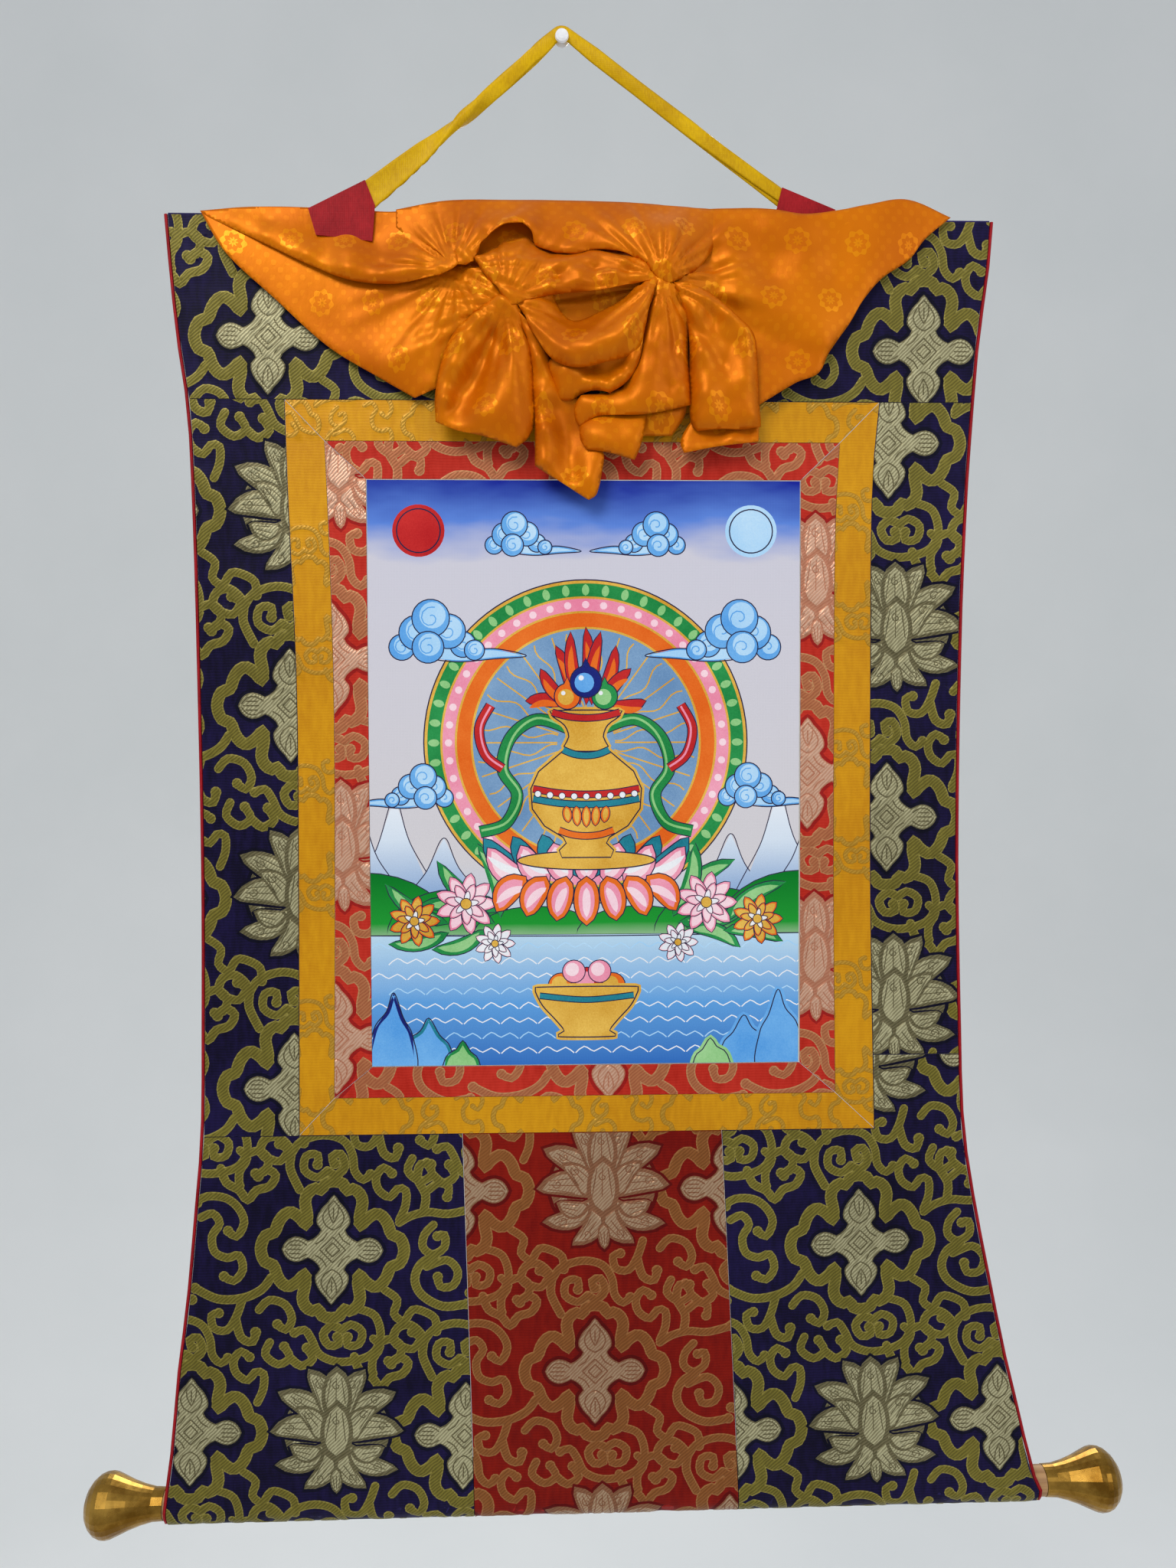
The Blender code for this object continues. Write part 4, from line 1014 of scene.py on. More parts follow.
# ---------------------------------------------------------------- The gold outer border
# Four wider strips of gold satin brocade with small scrolls woven tone on tone, mitred
# and sewn round the red ones.
GOLD_EDGES = smooth_edges(
    (-243, -190.5, 219.5), (-300, -189.2, 214.8), (-440, -184.5, 214.2), (-585, -184.8, 214.9),
    (-752, -186.3, 218.6)
)
GOLD_PALETTE = [
    thread("gold_ground_floats", srgb(194, 129, 0), srgb(214, 151, 8), 0.40, 0.1, 0.0, 0.00006),
    thread("gold_shadow", srgb(175, 120, 10), srgb(189, 134, 15), 0.5, 0.0, 0.0, 0.00005),
    thread("gold_vine_edge", srgb(162, 112, 18), srgb(180, 131, 31), 0.36, 0.25, 0.5, 0.0001),
    thread("gold_vine", srgb(171, 125, 33), srgb(194, 147, 51), 0.36, 0.3, 0.7, 0.00012),
    thread("gold_rosette_edge", srgb(171, 125, 37), srgb(190, 145, 55), 0.36, 0.3, 0.6, 0.0001),
    thread("gold_rosette", srgb(204, 164, 77), srgb(225, 194, 118), 0.32, 0.3, 0.8, 0.00015),
]
GOLD_VINE, GOLD_FRAME, GOLD_SCALE, GOLD_RELIEF = 5.6, 6.2, 0.62, 0.4
GOLD_FIGURE = (woven_cell(figure_of_cell(GOLD_VINE, GOLD_FRAME, False)), GOLD_SCALE, GOLD_RELIEF)
GOLD = satin("gold_ground", srgb(205, 138, 8), srgb(232, 168, 22), 0.45, 12)
border("gold", GOLD, GOLD_PALETTE, (GOLD_EDGES, RED_EDGES), GOLD_FIGURE, {
    "left": ((-175, -380), (0.026, 0.48), "side_left"),
    "right": ((200, -520), (0.027, 0.48), "side_right"),
    "top": ((40, -260), (0.383, 0.028), "header"),
    "bottom": ((-20, -740), (0.380, 0.026), "gold_border_left"),
})

# ---------------------------------------------------------------- The header
# One panel of navy brocade above the picture, with silver and olive figures and a hem
# along its top. The veil hides where its two lengths of pattern meet.
SIDE_EDGES = smooth_edges(
    (-117, -268, 296), (-150, -265.5, 293.5), (-200, -261, 287), (-250, -254.5, 283), (-310, -252, 279),
    (-400, -250.5, 275.5), (-560, -250, 275), (-680, -251, 278), (-750, -252.5, 281), (-810, -258, 290),
    (-870, -264, 302), (-920, -271, 313), (-970, -276, 325.5), (-1000, -280, 332), (-1020, -283, 340),
    (-1060, -283.5, 341),
)
# The line under the veil where the header's two lengths of pattern meet.
HALVES = smooth_edges((-100, 25.0, 25.0), (-300, 25.0, 25.0))
# Heights of the hem's ridge, of the seam below the header, and of the side strips' feet, in mm.
HEADER_RIDGE, SEAM, LEFT_FOOT, RIGHT_FOOT = -119.2, -243.0, -752.0, -699.0


def side_limits(left, right, top, foot):
    """Limits from two edge tables read at a height: left is (table, column)."""

    def at_foot(z):
        return np.maximum(z, ROLLER_Z / MM)

    return (
        lambda x, z: x - between(left[0], at_foot(z), left[1]) - CUT,
        lambda x, z: between(right[0], at_foot(z), right[1]) - CUT - x,
        lambda x, z: top - CUT - z,
        lambda x, z: z - foot - CUT,
    )


# The olive edge colour is lighter than the olive vine: a painted highlight along the cords. The silver used round
# the figures and for their lines is darker than the silver floats: painted shade.
NAVY_PALETTE = [
    thread("navy_ground_floats", srgb(13, 9, 32), srgb(28, 21, 64), 0.5, 0.0, 0.0, 0.00008),
    thread("navy_outline", srgb(8, 7, 22), srgb(16, 14, 40), 0.5, 0.0, 0.0, 0.00005),
    thread("olive_edge_highlight", srgb(118, 108, 44), srgb(148, 136, 64), 0.42, 0.25, 0.5, 0.00012),
    thread("olive_vine", srgb(92, 84, 28), srgb(124, 114, 44), 0.46, 0.25, 0.7, 0.0002),
    thread("silver_shade", srgb(86, 80, 54), srgb(116, 108, 78), 0.42, 0.4, 0.6, 0.00012),
    thread("silver_floats", srgb(128, 122, 90), srgb(184, 178, 140), 0.42, 0.3, 0.8, 0.00022),
]
NAVY = satin("navy_ground", srgb(19, 15, 52), srgb(38, 29, 92), 0.5, 14)


def panel(name, ground, palette, parts):
    """A panel of the mount in its ground, with its woven face."""
    show(name, ground)
    face = brocade_face("brocade_" + name, parts, palette)


def navy_panel(name, parts):
    panel(name, NAVY, NAVY_PALETTE, parts)


navy_panel("header", [
    (
        cell, (-201, -201), -0.02, 1.0, side_limits((SIDE_EDGES, 1), (HALVES, 2), HEADER_RIDGE, SEAM),
        ((-270, -245), (26, -117))
    ),
    (
        cell, (250, -208), 0.0, 1.0, side_limits((HALVES, 1), (SIDE_EDGES, 2), HEADER_RIDGE, SEAM),
        ((24, -245), (298, -117))
    ),
])

# ---------------------------------------------------------------- The side strips
# Two strips of the navy brocade beside the gold border, sewn to it and up into the
# header. The left one runs down to the border's foot, and the right one stops short.
navy_panel("side_left", [
    (
        cell, (-189, -452), 0.0, 1.01, side_limits((SIDE_EDGES, 1), (GOLD_EDGES, 1), SEAM, LEFT_FOOT),
        ((-262, -754), (-180, -241))
    ),
])
navy_panel("side_right", [
    (
        cell, (226, -531), 0.0, 0.985, side_limits((GOLD_EDGES, 2), (SIDE_EDGES, 2), SEAM, RIGHT_FOOT),
        ((210, -702), (288, -241))
    ),
])

# ---------------------------------------------------------------- The centre lower panel
# The same figured silk in deep red and copper, sewn in below the gold border and
# carried round the roller.
CENTRE_EDGES = smooth_edges((-752, -72.7, 110.1), (-1020, -66.0, 122.5), (-1060, -66.0, 122.5))
# The copper edge colour is lighter than the copper vine: a painted highlight along the cords. The rose silver
# used round the figures and for their lines is darker than the rose silver floats: painted shade.
RED_PALETTE = [
    thread("red_ground_floats", srgb(104, 11, 7), srgb(131, 22, 11), 0.42, 0.0, 0.0, 0.00008),
    thread("red_outline", srgb(79, 8, 7), srgb(98, 11, 9), 0.5, 0.0, 0.0, 0.00005),
    thread("copper_edge_highlight", srgb(141, 91, 49), srgb(161, 110, 62), 0.42, 0.25, 0.5, 0.00012),
    thread("copper_vine", srgb(119, 69, 28), srgb(141, 86, 41), 0.46, 0.25, 0.7, 0.0002),
    thread("rose_silver_shade", srgb(122, 79, 54), srgb(141, 95, 67), 0.42, 0.4, 0.6, 0.00012),
    thread("rose_silver_floats", srgb(149, 113, 85), srgb(177, 148, 119), 0.34, 0.45, 0.8, 0.00022),
]
DEEP_RED = satin("deep_red_ground", srgb(128, 20, 12), srgb(165, 26, 18), 0.5, 14)
FOOT = ROLLER_Z / MM - SLEEVE_RADIUS * SLEEVE_TURN / MM
panel("lower_centre", DEEP_RED, RED_PALETTE, [
    (
        cell, (20, -923), 0.0, 0.985, side_limits((CENTRE_EDGES, 1), (CENTRE_EDGES, 2), LEFT_FOOT, FOOT),
        ((-75, FOOT), (126, -750))
    ),
])

# ---------------------------------------------------------------- The lower navy panels
# Two flared panels of the navy brocade on each side of the red one, cut at a lean and
# carried round the roller. A tongue of the right one runs up beside the gold border.
LEAN = 0.035
navy_panel("lower_left", [
    (
        cell, (-164, -833), -LEAN, 1.0, side_limits((SIDE_EDGES, 1), (CENTRE_EDGES, 1), LEFT_FOOT, FOOT),
        ((-288, FOOT), (-60, -750))
    ),
])
navy_panel("lower_right", [
    (
        cell, (209, -834), LEAN, 1.0,
        side_limits((GOLD_EDGES, 2), (SIDE_EDGES, 2), RIGHT_FOOT, LEFT_FOOT - 2 * CUT),
        ((210, -754), (288, -697))
    ),
    (
        cell, (209, -834), LEAN, 1.0, side_limits((CENTRE_EDGES, 2), (SIDE_EDGES, 2), LEFT_FOOT, FOOT),
        ((108, FOOT), (345, -750))
    ),
])

# ---------------------------------------------------------------- The edge cords
# A thin crimson cord along each long edge of the mount. It is satin over a cotton
# core, and is stitched over the raw edge to bind it.
CRIMSON = satin("crimson", srgb(132, 12, 22), srgb(166, 26, 34), 0.5, 45, sheen=0.0)
for side in ("left", "right"):
    show("edge_cord_" + side, CRIMSON)

# ---------------------------------------------------------------- The roller and its knobs
# A plain turned softwood rod in the lower hem, and a hollow spun brass knob pushed on
# each end of it.


def softwood():
    made = Nodes("turned_softwood").set(Roughness=0.55)
    grain = made.noise(made.place((0.04, 1, 1)), 160, 5.0)
    made.colour(made.ramp(grain, (0.35, srgb(132, 92, 54)), (0.65, srgb(184, 142, 94))))
    made.bump(grain, 0.0002, 0.5)
    return made.made


def worn_brass():
    """Spun brass, dulled in patches and finely scratched."""
    made = Nodes("worn_brass").set(Metallic=1.0, Roughness=0.3)
    tarnish = made.noise(made.place(), 30, 6.0, 0.6)
    made.colour(made.ramp(tarnish, (0.35, srgb(120, 84, 28)), (0.62, srgb(188, 146, 66))))
    scratches = made.noise(made.place((1, 1, 1)), 260, 3.0)
    both = made.math("ADD", made.math("MULTIPLY", tarnish, 0.5), made.math("MULTIPLY", scratches, 0.5))
    made.rough(made.ramp(both, (0.3, (0.16,) * 3), (0.7, (0.42,) * 3)))
    made.bump(scratches, 0.00008, 0.25)
    return made.made


show("roller", softwood())
BRASS = worn_brass()
for side in ("left", "right"):
    show("knob_" + side, BRASS)

# ---------------------------------------------------------------- The orange silk veil
# One length of silk damask that would cover the picture, gathered up over the header
# and caught at three pinches into swags, a bow and hanging lobes. Its edges are rolled.
# Each layer is a ring of points on its edge and more on its folds, from the back layer to
# the front one: x and z in mm, and how far it stands off the mount.
VEIL = {
    "gathered_back": (
        ((-112, -117, 2.4), (-40, -113, 2.6), (40, -113, 2.6), (104, -118, 3), (98, -150, 6),
         (78, -172, 12), (60, -186, 9), (20, -196, 7), (-20, -192, 7), (-46, -180, 12), (-74, -164, 9),
         (-100, -146, 4)),
        ((-40, -150, 8), (0, -160, 7), (40, -160, 7), (-60, -130, 5), (70, -135, 5)),
    ),
    "lower_left_wing": (
        ((-245, -118, 2.6), (-228, -146, 5), (-197, -175, 4.5), (-159, -209, 5), (-122, -231, 6),
         (-101, -243, 6.5), (-86, -237, 11), (-78, -216, 10), (-62, -200, 12), (-40, -186, 22),
         (-36, -176, 24), (-52, -160, 20), (-72, -156, 12), (-100, -154, 5), (-145, -148, 4.2),
         (-173, -136, 3.4), (-200, -127, 3), (-225, -120, 2.6)),
        ((-171, -158, 5), (-146, -169, 5.5), (-122, -171, 6), (-99, -169, 6.5), (-82, -167, 9),
         (-50, -178, 24), (-70, -194, 18), (-94, -211, 13), (-118, -226, 9), (-70, -174, 13),
         (-91, -184, 6.5), (-118, -192, 5.5), (-156, -197, 4.8), (-110, -204, 9), (-140, -190, 6.5),
         (-74, -204, 11), (-90, -226, 10), (-58, -168, 20), (-200, -150, 4.6)),
    ),
    "rolled_left_edge": (
        ((-245, -118, 2.6), (-210, -115, 2.4), (-172, -115, 2.4), (-128, -117, 2.4), (-112, -117, 2.6),
         (-81, -111, 3), (-76, -128, 8), (-72, -145, 16), (-70, -158, 23), (-76, -162, 21),
         (-98, -166.5, 15), (-121, -168, 13), (-145, -165, 12), (-173, -154, 9.5), (-200, -141, 7),
         (-225, -129, 4.5), (-240, -122, 3)),
        ((-171, -126, 2.4), (-129, -128, 2.4), (-168, -134, 2.8), (-129, -138, 3.2), (-200, -124, 3.2),
         (-121, -164.5, 16.5), (-145, -161, 15.5), (-98, -162.5, 18), (-173, -150, 12), (-200, -137, 8.5),
         (-222, -127, 5.5), (-158, -148, 9), (-122, -154, 9.5), (-92, -156, 14), (-184, -137, 7),
         (-145, -146, 11), (-102, -150, 14), (-96, -140, 8), (-100, -126, 4)),
    ),
    "right_wing": (
        ((70, -116, 5), (118, -114, 6), (143, -115, 8.2), (165, -118, 8.6), (190, -115, 8.4),
         (208, -111, 7), (236, -107, 6), (267, -118, 4), (249, -133, 5), (238, -147, 5.5), (219, -160, 6),
         (206, -175, 7), (197, -190, 8), (182, -211, 9), (175, -225, 9), (159, -232, 10), (133, -248, 12),
         (118, -232, 9), (104, -206, 10), (86, -184, 16), (74, -170, 22), (70, -150, 14), (70, -132, 8)),
        ((87, -161, 20), (100, -166, 16), (138, -170, 12.5), (180, -174, 10.5), (88, -157, 18),
         (117, -153, 13), (170, -147, 10), (218, -143, 8), (85, -153, 15), (106, -138, 12),
         (140, -127, 9.5), (93, -165, 18), (117, -177, 15), (143, -188, 13.5), (172, -200, 12.5),
         (183, -207, 11), (102, -159.5, 10), (139, -160.5, 7.5), (186, -158, 7), (99, -148, 9),
         (128, -140, 7.5), (181, -130, 7), (100, -172, 11), (117, -184, 8.5), (133, -196, 7.5),
         (150, -206, 7.5), (165, -213, 8.5), (128, -215, 10.5), (150, -222, 11), (112, -200, 9),
         (225, -125, 7), (205, -160, 8)),
    ),
    "inner_fold": (
        ((-35, -182, 20), (-15, -171, 14), (9, -165, 12), (37, -163, 12), (54, -163, 16), (51, -178, 10),
         (37, -195, 8), (9, -202, 8), (-11, -194, 10), (-25, -187, 16)),
        ((10, -180, 9), (30, -176, 9)),
    ),
    "left_lobe": (
        ((-40, -177, 26), (-31, -184, 27), (-27, -197, 24), (-23, -209, 22), (-21, -232, 19),
         (-20, -260, 15), (-24, -271, 16), (-32, -278, 18), (-53, -271, 19), (-72, -267, 18),
         (-86, -261, 16), (-86, -242, 15), (-82, -222, 15), (-75, -204, 16), (-58, -189, 21)),
        ((-41, -184, 29), (-55, -193, 28), (-67, -210, 26), (-74, -225, 25), (-79, -247, 23),
         (-43, -191, 24), (-49, -202, 16), (-55, -217, 12), (-63, -231, 11), (-72, -243, 12),
         (-76, -252, 14), (-70, -263, 17), (-33, -195, 26), (-33, -210, 26), (-38, -228, 26),
         (-45, -243, 25), (-55, -257, 24), (-32, -262, 22), (-26, -240, 22), (-83, -254, 18)),
    ),
    "long_tail": (
        ((-30, -190, 27), (-24, -196, 26), (-14, -209, 22), (-8, -224, 18), (0, -238, 14), (12, -246, 12),
         (18, -258, 12), (22, -272, 13), (27, -282, 15), (26, -292, 15), (22, -309, 15), (17, -312.5, 14),
         (-5, -299, 15), (-19, -290, 16), (-19, -257, 16), (-21, -232, 18), (-24, -208, 22),
         (-28, -198, 25)),
        ((-24, -204, 27), (-18, -220, 26), (-14, -243, 24), (-13, -267, 22), (-13, -288, 20),
         (-4, -251, 12), (0, -267, 9), (3, -283, 9), (6, -297, 10), (14, -284, 14), (17, -298, 18),
         (9, -305, 15), (-10, -232, 19), (8, -257, 10)),
    ),
    "turned_corner": (
        ((11, -263, 15), (22, -253, 13), (37, -252, 13), (56, -250, 13), (55, -262, 17), (52, -276, 18),
         (48, -286, 17), (30, -281, 18), (16, -279, 17), (12, -273, 16)),
        ((19, -269, 20), (37, -267, 19), (48, -271, 20), (30, -276, 21)),
    ),
    "hem_behind": (
        ((50, -246, 10), (85, -245, 11), (82, -256, 12), (74, -268, 8), (55, -268, 8), (51, -274, 8)),
        ((72, -255, 14), (61, -258, 14), (66, -263, 9)),
    ),
    "right_lobe": (
        ((60, -165, 26), (68, -168, 27), (77, -173, 24), (86, -179, 20), (87, -191, 16), (84, -207, 17),
         (85, -231, 17), (86, -249, 18), (71, -253, 20), (54, -256, 21), (36, -256.5, 20), (22, -257, 18),
         (11, -264, 15), (8, -258, 16), (8, -250, 17), (12, -244, 20), (30, -242, 18), (40, -238, 17),
         (46, -223, 18), (53, -203, 21), (58, -183, 25)),
        ((63, -187, 30), (60, -210, 28), (54, -230, 26), (46, -248, 24), (71, -190, 25), (74, -215, 21),
         (72, -239, 20), (79, -216, 24), (81, -239, 23), (76, -183, 21), (81, -190, 22), (67, -222, 25),
         (22, -250, 22), (64, -247, 24), (35, -249, 21)),
    ),
    "lobe_mouth": (
        ((91, -257, 12), (134, -255, 12), (133, -273, 14), (106, -276.5, 16), (82, -281, 15),
         (80, -274, 13), (84, -264, 12)),
        ((107, -266, 9), (128, -266, 10), (91, -273, 13), (115, -272, 16)),
    ),
    "outer_lobe": (
        ((74, -170, 26), (87, -172, 27), (102, -180, 26), (115, -191, 25), (127, -202, 23), (130, -209, 20),
         (131, -222, 19), (132, -242, 18), (134, -263, 16), (120, -265, 17), (106, -265, 18),
         (91, -266, 17), (87, -260, 15), (86, -231, 17), (85, -201, 20), (80, -184, 24)),
        ((87, -192, 27), (90, -216, 26), (91, -243, 24), (93, -259, 22), (97, -182, 30), (110, -193, 30),
         (121, -202, 28), (103, -196, 21), (116, -207, 21), (123, -212, 25), (125, -233, 25),
         (128, -257, 22), (108, -223, 19), (110, -249, 21), (99, -188, 24)),
    ),
    "curl_under_loop": (
        ((-5, -215, 20), (12, -216, 24), (29, -215, 25), (46, -208, 27), (54, -197, 27), (53, -210, 27),
         (49, -225, 24), (42, -235, 22), (31, -242, 21), (22, -240, 20), (12, -242, 17), (4, -246, 16),
         (-4, -245, 16), (-7, -235, 18), (-10, -223, 22)),
        ((12, -228, 22), (19, -238, 26), (29, -240, 27), (40, -234, 28), (46, -222, 29), (19, -227, 16),
         (30, -231, 19), (40, -222, 20), (18, -221, 17), (0, -230, 25), (2, -239, 22), (-5, -232, 20),
         (8, -236, 21), (26, -222, 19)),
    ),
    "loop": (
        ((-34, -183, 28), (-27, -180, 26), (-15, -176, 23), (-7, -175, 20), (-5, -181, 18), (0, -190, 17),
         (9, -194, 18), (23, -189, 19), (37, -182, 20), (50, -172, 22), (59, -165, 25), (64, -168, 27),
         (61, -175, 30), (57, -188, 32), (54, -201, 31), (51, -212, 29), (45, -218, 27), (29, -223, 28),
         (12, -227, 29), (2, -226, 29), (-8, -221, 28), (-14, -214, 28), (-22, -201, 28), (-28, -189, 28)),
        ((2, -220, 35), (19, -217, 37.5), (34, -209, 37.5), (46, -197, 36), (55, -181, 32), (-20, -190, 27),
         (-10, -202, 29), (-1, -212, 32), (9, -205, 27), (26, -200, 28), (43, -187, 28), (53, -175, 27),
         (-15, -184, 25), (4, -198, 20), (19, -194, 20)),
    ),
    "top_band": (
        ((-113, -116, 2.8), (-79, -110, 3), (-32, -109.5, 4), (6, -109.5, 4), (48, -110.5, 4),
         (79, -113, 5), (104, -115, 6), (106, -127, 8), (102, -141, 12), (94, -155, 18), (82, -165, 24),
         (70, -171, 27), (66, -170, 27), (60, -164, 27), (54, -156, 24), (45, -151, 22), (33, -147, 20),
         (20, -146, 18), (9, -149, 18), (-4, -148, 17), (-15, -145, 17), (-19, -142, 17), (-21, -135, 19),
         (-27, -129, 19), (-37, -130, 19), (-47, -136, 20), (-55, -145, 21), (-60, -157, 23),
         (-67, -158, 22), (-75, -157, 19), (-86, -146, 13), (-104, -136, 6), (-113, -128, 3.5)),
        ((-79, -128, 9), (-92, -136, 9), (-66, -133, 15), (-65, -147, 20), (-74, -140, 13), (-41, -118, 8),
         (-4, -120, 9), (20, -120, 9), (20, -134, 16), (-4, -138, 16), (-12, -128, 13), (47, -125, 15),
         (71, -133, 25), (73, -150, 30), (70, -163, 30), (95, -131, 13), (54, -141, 22), (37, -133, 17),
         (63, -119, 9), (86, -145, 20)),
    ),
    "bow": (
        ((-59, -154, 23), (-49, -148, 18), (-37, -140, 14), (-25, -137, 12), (-18, -141, 11),
         (-11, -146, 12), (6, -146, 12), (20, -145, 13), (42, -148, 16), (56, -155, 21), (65, -164, 25),
         (63, -169, 26), (53, -170, 27), (45, -171, 26), (26, -175, 25), (9, -176, 24), (-11, -179, 26),
         (-25, -184, 28), (-34, -187, 30), (-38, -184, 30), (-43, -176, 28), (-52, -165, 26)),
        ((-40, -155, 25), (-25, -154, 25), (-4, -158, 24), (19, -156, 23), (42, -158.5, 25),
         (-28, -172, 28), (-18, -167, 24), (-4, -164.5, 21), (20, -160.5, 19), (43, -161.5, 21),
         (-8, -172, 28), (12, -168.5, 27), (36, -165.5, 26), (-43, -166, 29), (52, -161, 25)),
    ),
}
# Mesh spacing in mm, the turn in degrees that stays a corner, and how the thin plate is drawn.
VEIL_SPACING, TRIANGLE_ROW, SHARP_CORNER = 1.9, 0.866, 44
PLATE_SCALE, PLATE_EASE = 60.0, 0.0022
VEIL_SILK = 0.0007


def smooth_outline(points, spacing):
    """Points about a spacing apart on a rounded ring; its sharp corners stay."""
    points = [np.array(p, float) for p in points]
    count = len(points)
    leans = []
    for i, p in enumerate(points):
        a, b = points[i - 1], points[(i + 1) % count]
        u, v = p[:2] - a[:2], b[:2] - p[:2]
        turn = abs(math.degrees(math.atan2(u[0] * v[1] - u[1] * v[0], float(u @ v))))
        lean = (b - a) / (np.linalg.norm((b - a)[:2]) + 1e-9)
        leans.append(np.zeros(3) if turn > SHARP_CORNER else lean)
    made = []
    for i in range(count):
        p, q = points[i], points[(i + 1) % count]
        length = np.linalg.norm((q - p)[:2])
        m, n = leans[i] * length, leans[(i + 1) % count] * length
        m = m if m.any() else q - p
        n = n if n.any() else q - p
        steps = max(1, round(length / spacing))
        made += [bend(p, m, q, n, k / steps) for k in range(steps)]
    return made


def bent_plate(points):
    """A thin plate through points of x, z, stand: the smoothest cloth that meets them."""
    p = np.array(points, float)
    xy, rise = p[:, :2], p[:, 2]

    def kernel(a, b):
        r = np.sqrt(((a[:, None, :] - b[None, :, :]) ** 2).sum(2)) / PLATE_SCALE
        return np.where(r > 1e-9, r * r * np.log(np.maximum(r, 1e-9)), 0.0)

    n = len(p)
    system = np.zeros((n + 3, n + 3))
    system[:n, :n] = kernel(xy, xy) + PLATE_EASE * np.eye(n)
    system[:n, n:] = np.c_[np.ones(n), xy / PLATE_SCALE]
    system[n:, :n] = system[:n, n:].T
    weights = np.linalg.solve(system, np.r_[rise, np.zeros(3)])

    def read(q):
        return kernel(q, xy) @ weights[:n] + np.c_[np.ones(len(q)), q / PLATE_SCALE] @ weights[n:]

    return read


def fill(outline, spacing):
    """Points on a triangular grid inside an outline, a little away from it."""
    edge = np.array([p[:2] for p in outline])
    low, high = edge.min(0), edge.max(0)
    rows = []
    for i in range(int((high[1] - low[1]) / (spacing * TRIANGLE_ROW)) + 2):
        x = np.arange(low[0] + spacing * 0.5 * (i % 2), high[0], spacing)
        rows.append(np.c_[x, np.full(len(x), low[1] + spacing * TRIANGLE_ROW * i)])
    grid = np.concatenate(rows)
    grid = grid[inside(grid[:, 0], grid[:, 1], [tuple(p) for p in edge])]
    gap = np.sqrt(((grid[:, None, :] - edge[None, :, :]) ** 2).sum(2)).min(1)
    return grid[gap > spacing * 0.5]


# The silk is caught up at these points, x, z and strength, and fine folds run out from them.
# They and the rolled edge show where the silk stands free of the mount.
PINCHES = ((-73, -160, 1.0), (-38, -183, 1.0), (66, -168, 1.3))
FOLD_RISE, FOLD_COUNT, FOLD_START, FOLD_REACH, NEXT_PHASE = 1.15, 21.0, 16, 58.0, 1.7
ROLLED_EDGE, ROLLED_REACH = 1.5, 2.0
FOLDS_FROM, FOLDS_FULL_OVER, LEAST_STAND = 3.0, 8.0, 2.2


def fine_folds(at, phase):
    """Narrow folds that fan out from each pinch and die away."""
    rise = np.zeros(len(at))
    for x, z, strength in PINCHES:
        dx, dz = at[:, 0] - x, at[:, 1] - z
        away = np.hypot(dx, dz)
        angle = np.arctan2(dz, dx)
        wave = np.sin(FOLD_COUNT * angle + phase + 1.3 * np.sin(3 * angle + phase))
        wave = wave + 0.5 * np.sin(1.7 * FOLD_COUNT * angle - phase)
        near_pinch = np.minimum(away / FOLD_START, 1) * np.exp(-((away / FOLD_REACH) ** 2))
        rise += strength * wave * near_pinch
    return FOLD_RISE * rise


def distance_to_edge(at, outline):
    line = np.array([p[:2] for p in outline])
    along = np.roll(line, -1, 0) - line
    share = np.clip(((at[:, None, :] - line) * along).sum(2) / ((along**2).sum(1) + 1e-9), 0, 1)
    return np.sqrt(((at[:, None, :] - line - share[:, :, None] * along) ** 2).sum(2)).min(1)


def veil_layer(edge, folds, phase):
    """One layer's points and faces."""
    outline = smooth_outline(edge, VEIL_SPACING)
    read = bent_plate(outline[::3] + [np.array(f, float) for f in folds])
    flat = [Vector(p[:2]) for p in outline] + [Vector(p) for p in fill(outline, VEIL_SPACING)]
    count = len(outline)
    ring = [(i, (i + 1) % count) for i in range(count)]
    spots, _, faces, _, _, _ = delaunay_2d_cdt(flat, ring, [], 0, 1e-6)
    at = np.array([s[:] for s in spots])
    middles = at[np.array(faces)].mean(1)
    kept = inside(middles[:, 0], middles[:, 1], [tuple(p[:2]) for p in outline])
    stand = read(at)
    free = np.clip((stand - FOLDS_FROM) / FOLDS_FULL_OVER, 0, 1)
    rolled = ROLLED_EDGE * np.exp(-((distance_to_edge(at, outline) / ROLLED_REACH) ** 2))
    stand += free * (fine_folds(at, phase) - rolled)
    x, z = at[:, 0] * MM, at[:, 1] * MM
    y = front_y(x, z) - np.maximum(stand, LEAST_STAND) * MM
    return list(zip(x, y, z)), [f for f, k in zip(faces, kept) if k]


